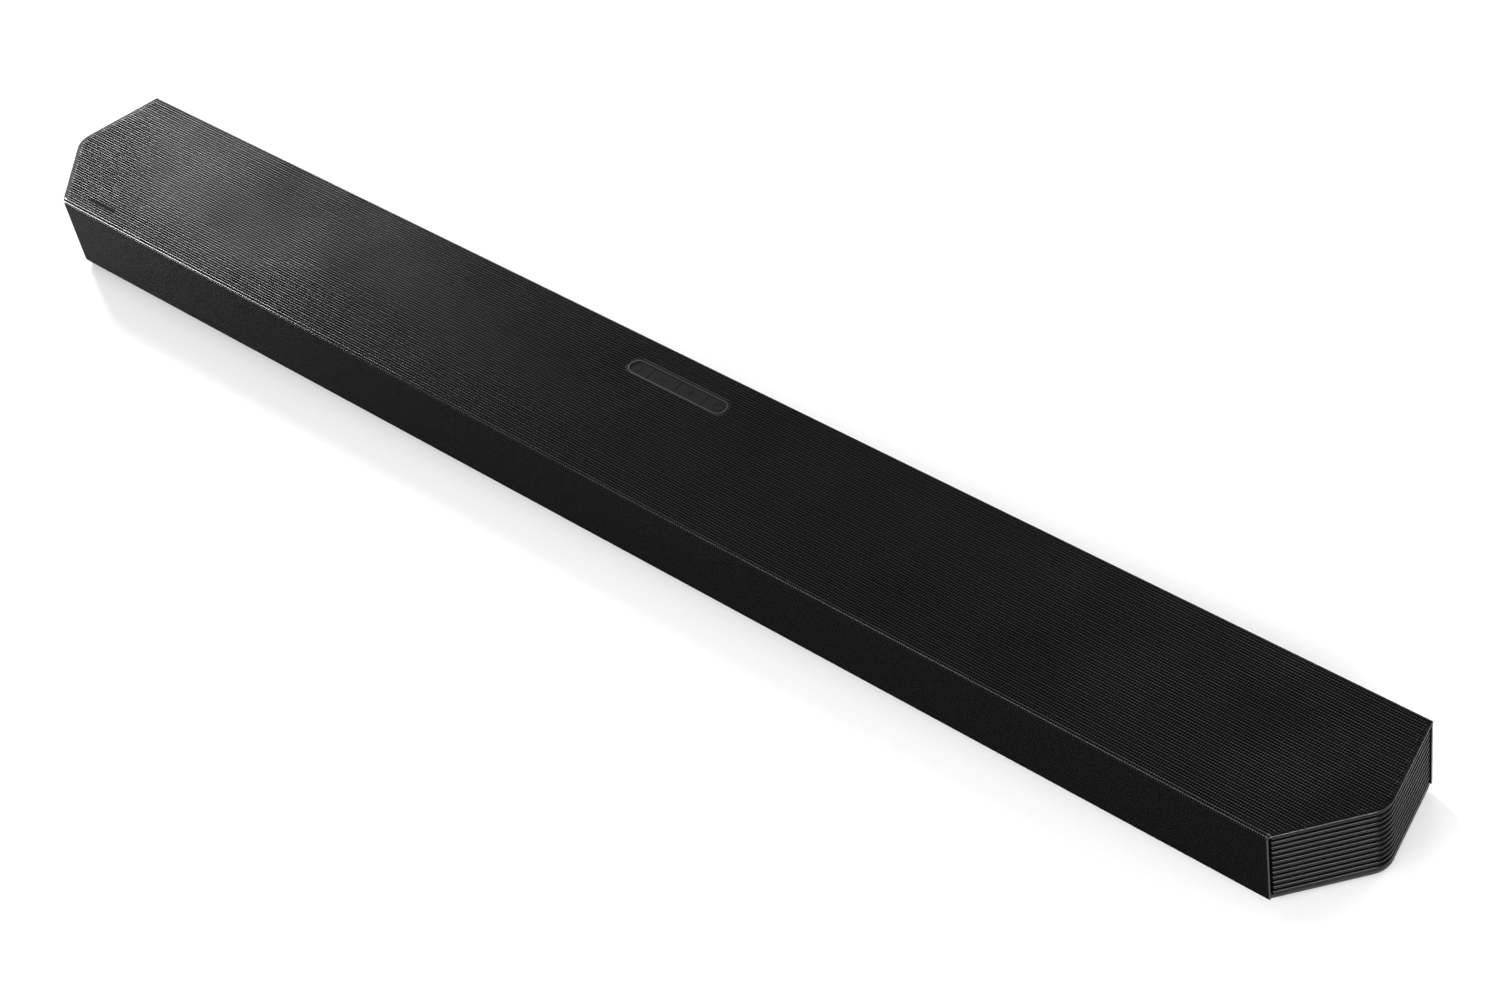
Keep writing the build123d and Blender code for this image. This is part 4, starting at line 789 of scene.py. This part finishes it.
FINISHES = {
    "acoustic_cloth": dict(dark=grey(0.0006), light=grey(0.002), rough=(0.85, 1.0), specular=0.05,
                           grain=0.2, grain_height=0.02, thread=0.5),
    "badge_metal": dict(dark=grey(0.003, 1.03), light=grey(0.007, 1.03), rough=(0.5, 0.6),
                        specular=0.02, grain=0.12, grain_height=0.003, stretch=(30.0, 1.0, 1.0),
                        mottle=6.0),
    "inner_plastic": dict(dark=grey(0.012), light=grey(0.02), rough=(0.5, 0.65), grain=0.5,
                          grain_height=0.02),
    "case_plastic": dict(dark=grey(0.012), light=grey(0.019), rough=(0.5, 0.66), specular=0.35,
                         grain=0.35, grain_height=0.035, mottle=40.0),
    "rear_plastic": dict(dark=grey(0.011), light=grey(0.017), rough=(0.45, 0.6), specular=0.35,
                         grain=0.3, grain_height=0.03, mottle=45.0),
    "foot_rubber": dict(dark=grey(0.018), light=grey(0.03), rough=(0.8, 0.95), specular=0.25,
                        grain=0.6, grain_height=0.04, mottle=10.0),
    "rib_plastic": dict(dark=grey(0.002), light=grey(0.004, 1.1), rough=(0.16, 0.22), specular=0.2,
                        grain=0.3, grain_height=0.004, stretch=(4.0, 4.0, 1.0), mottle=30.0),
    "bezel_plastic": dict(dark=grey(0.018, 1.05), light=grey(0.028, 1.05), rough=(0.28, 0.4),
                          specular=0.2, grain=0.25, grain_height=0.004, mottle=15.0),
    "key_plastic": dict(dark=grey(0.007, 1.12), light=grey(0.01, 1.15), rough=(0.42, 0.52),
                        specular=0.03, grain=0.2, grain_height=0.005, mottle=12.0),
    "circuit_board": dict(dark=(0.006, 0.045, 0.014), light=(0.012, 0.08, 0.026), rough=(0.3, 0.45),
                          grain=0.8, grain_height=0.02, mottle=9.0, coat=0.3),
    "switch_metal": dict(dark=grey(0.3), light=grey(0.5), rough=(0.25, 0.45), metallic=0.9,
                         grain=0.3, grain_height=0.01, mottle=3.0),
    "ribbon_film": dict(dark=(0.5, 0.5, 0.48), light=(0.68, 0.68, 0.66), rough=(0.35, 0.5),
                        grain=0.5, grain_height=0.01, stretch=(1.0, 12.0, 1.0), mottle=4.0),
    "magnet_steel": dict(dark=grey(0.16), light=grey(0.3), rough=(0.35, 0.55), metallic=0.9,
                         grain=0.4, grain_height=0.01, mottle=12.0),
    "dome_fabric": dict(dark=grey(0.01), light=grey(0.03), rough=(0.7, 0.9), sheen=0.4,
                        grain=0.2, grain_height=0.01, thread=0.35),
    "port_plastic": dict(dark=grey(0.01), light=grey(0.016), rough=(0.5, 0.65), grain=0.35,
                         grain_height=0.03, mottle=20.0),
    "sink_aluminium": dict(dark=grey(0.45), light=grey(0.6), rough=(0.3, 0.5), metallic=1.0,
                           grain=0.15, grain_height=0.006, stretch=(20.0, 1.0, 1.0), mottle=14.0),
    "can_metal": dict(dark=grey(0.4), light=grey(0.6), rough=(0.25, 0.4), metallic=1.0,
                      grain=0.4, grain_height=0.01, mottle=8.0),
    "socket_plastic": dict(dark=grey(0.01), light=grey(0.016), rough=(0.35, 0.5), grain=0.3,
                           grain_height=0.015, mottle=6.0),
    "plate_steel": dict(dark=grey(0.02), light=grey(0.035), rough=(0.4, 0.55), metallic=0.2,
                        grain=0.25, grain_height=0.01, mottle=10.0),
    "socket_metal": dict(dark=grey(0.45), light=grey(0.62), rough=(0.2, 0.35), metallic=1.0,
                         grain=0.3, grain_height=0.006, mottle=4.0),
    "wire_sleeve": dict(dark=(0.3, 0.02, 0.015), light=(0.42, 0.035, 0.025), rough=(0.4, 0.55),
                        grain=0.5, grain_height=0.02, mottle=8.0),
    "insert_brass": dict(dark=(0.5, 0.34, 0.12), light=(0.66, 0.47, 0.2), rough=(0.25, 0.42),
                         metallic=1.0, grain=0.2, grain_height=0.006, mottle=5.0),
    "screw_steel": dict(dark=grey(0.05), light=grey(0.1), rough=(0.3, 0.5), metallic=0.9,
                        grain=0.2, grain_height=0.008, mottle=4.0),
    "basket_steel": dict(dark=grey(0.015), light=grey(0.03), rough=(0.45, 0.6), metallic=0.3,
                         grain=0.4, grain_height=0.02, mottle=16.0),
    "cone_paper": dict(dark=grey(0.02), light=grey(0.045), rough=(0.75, 0.95), specular=0.2,
                       grain=0.9, grain_height=0.05, mottle=7.0, sheen=0.2),
    "surround_rubber": dict(dark=grey(0.012), light=grey(0.02), rough=(0.45, 0.6), grain=0.6,
                            grain_height=0.02, mottle=9.0),
}

MATERIALS = {slot: surface(slot, **finish) for slot, finish in FINISHES.items()}
# The sheet's paint: its groove colour is painted shade, its ridge and edge colours painted
# highlight.
MATERIALS["shell_steel"] = paint_with_painted_sheen(
    "shell_steel", groove=grey(0.0012), ridge=grey(0.057, 1.02), edge=grey(0.08, 1.02),
    groove_rough=0.45, ridge_rough=0.19, specular=0.03)


def dress_frame():
    """Gives every CAD node the material of its slot in the record."""
    for part in frame["record"]["subparts"]:
        mesh = frame["nodes"][part["node"]].data
        mesh.materials.clear()
        mesh.materials.append(MATERIALS[part["material_slot"]])


# ---------------------------------------------------------------- studio


def studio_floor():
    """A wide pale floor under the feet."""
    mesh = bpy.data.meshes.new("studio_floor")
    signs = [(-1, -1), (1, -1), (1, 1), (-1, 1)]
    corners = [(across * FLOOR_HALF, along * FLOOR_HALF, 0.0) for across, along in signs]
    mesh.from_pydata(corners, [], [(0, 1, 2, 3)])
    mesh.materials.append(surface("studio_paper", grey(0.86), grey(0.9), (0.8, 0.95), specular=0.1,
                                  grain=3.0, grain_height=0.02, mottle=400.0))
    floor = bpy.data.objects.new("studio_floor", mesh)
    bpy.context.scene.collection.objects.link(floor)


def soft_light(name, location, target, size, power):
    """A rectangular soft light that faces a point."""
    data = bpy.data.lights.new(name, "AREA")
    data.shape = "RECTANGLE"
    data.size, data.size_y = size
    data.energy = power
    light = bpy.data.objects.new(name, data)
    light.location = location
    light.rotation_mode = "QUATERNION"
    light.rotation_quaternion = (Vector(target) - Vector(location)).to_track_quat("-Z", "Y")
    bpy.context.scene.collection.objects.link(light)
    return light


def studio_lights():
    """A soft sky, lights behind the bar that gleam on the top, and fills from the other sides."""
    world = bpy.data.worlds.new("studio_sky")
    world.use_nodes = True
    background = world.node_tree.nodes["Background"]
    background.inputs["Color"].default_value = (1.0, 1.0, 1.0, 1.0)
    background.inputs["Strength"].default_value = SKY_STRENGTH
    bpy.context.scene.world = world
    for light in LIGHTS:
        soft_light(*light)


def sheet_light(sheets):
    """A low light in front of the left end, kept off everything but the perforated sheet."""
    lit = bpy.data.collections.new("lit_sheet")
    for sheet in sheets:
        lit.objects.link(sheet)
    light = soft_light(*SHEET_LIGHT)
    light.data.spread = SHEET_LIGHT_SPREAD
    light.light_linking.receiver_collection = lit


def photo_camera():
    """The camera above the right front corner, where the picture was taken from."""
    data = bpy.data.cameras.new("camera")
    data.sensor_width = 36.0
    data.lens = CAMERA_LENS
    data.clip_start = 0.05
    data.clip_end = 60.0
    camera = bpy.data.objects.new("camera", data)
    axes = (Vector(CAMERA_RIGHT), -Vector(CAMERA_DOWN), -Vector(CAMERA_FORWARD))
    turn = Matrix(axes).transposed().to_4x4()
    camera.matrix_world = Matrix.Translation(CAMERA_PLACE) @ turn
    bpy.context.scene.collection.objects.link(camera)
    bpy.context.scene.camera = camera


# ---------------------------------------------------------------- everything together

bpy.context.scene.view_settings.view_transform = "Standard"
photo_camera()
studio_lights()
studio_floor()
dress_frame()

sheets = [grille_segment(number) for number in range(SEGMENTS)]
sheet_light(sheets)
for sheet in sheets:
    sheet.data.materials.append(MATERIALS["shell_steel"])
    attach(sheet, "case")
    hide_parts("grille_shell")
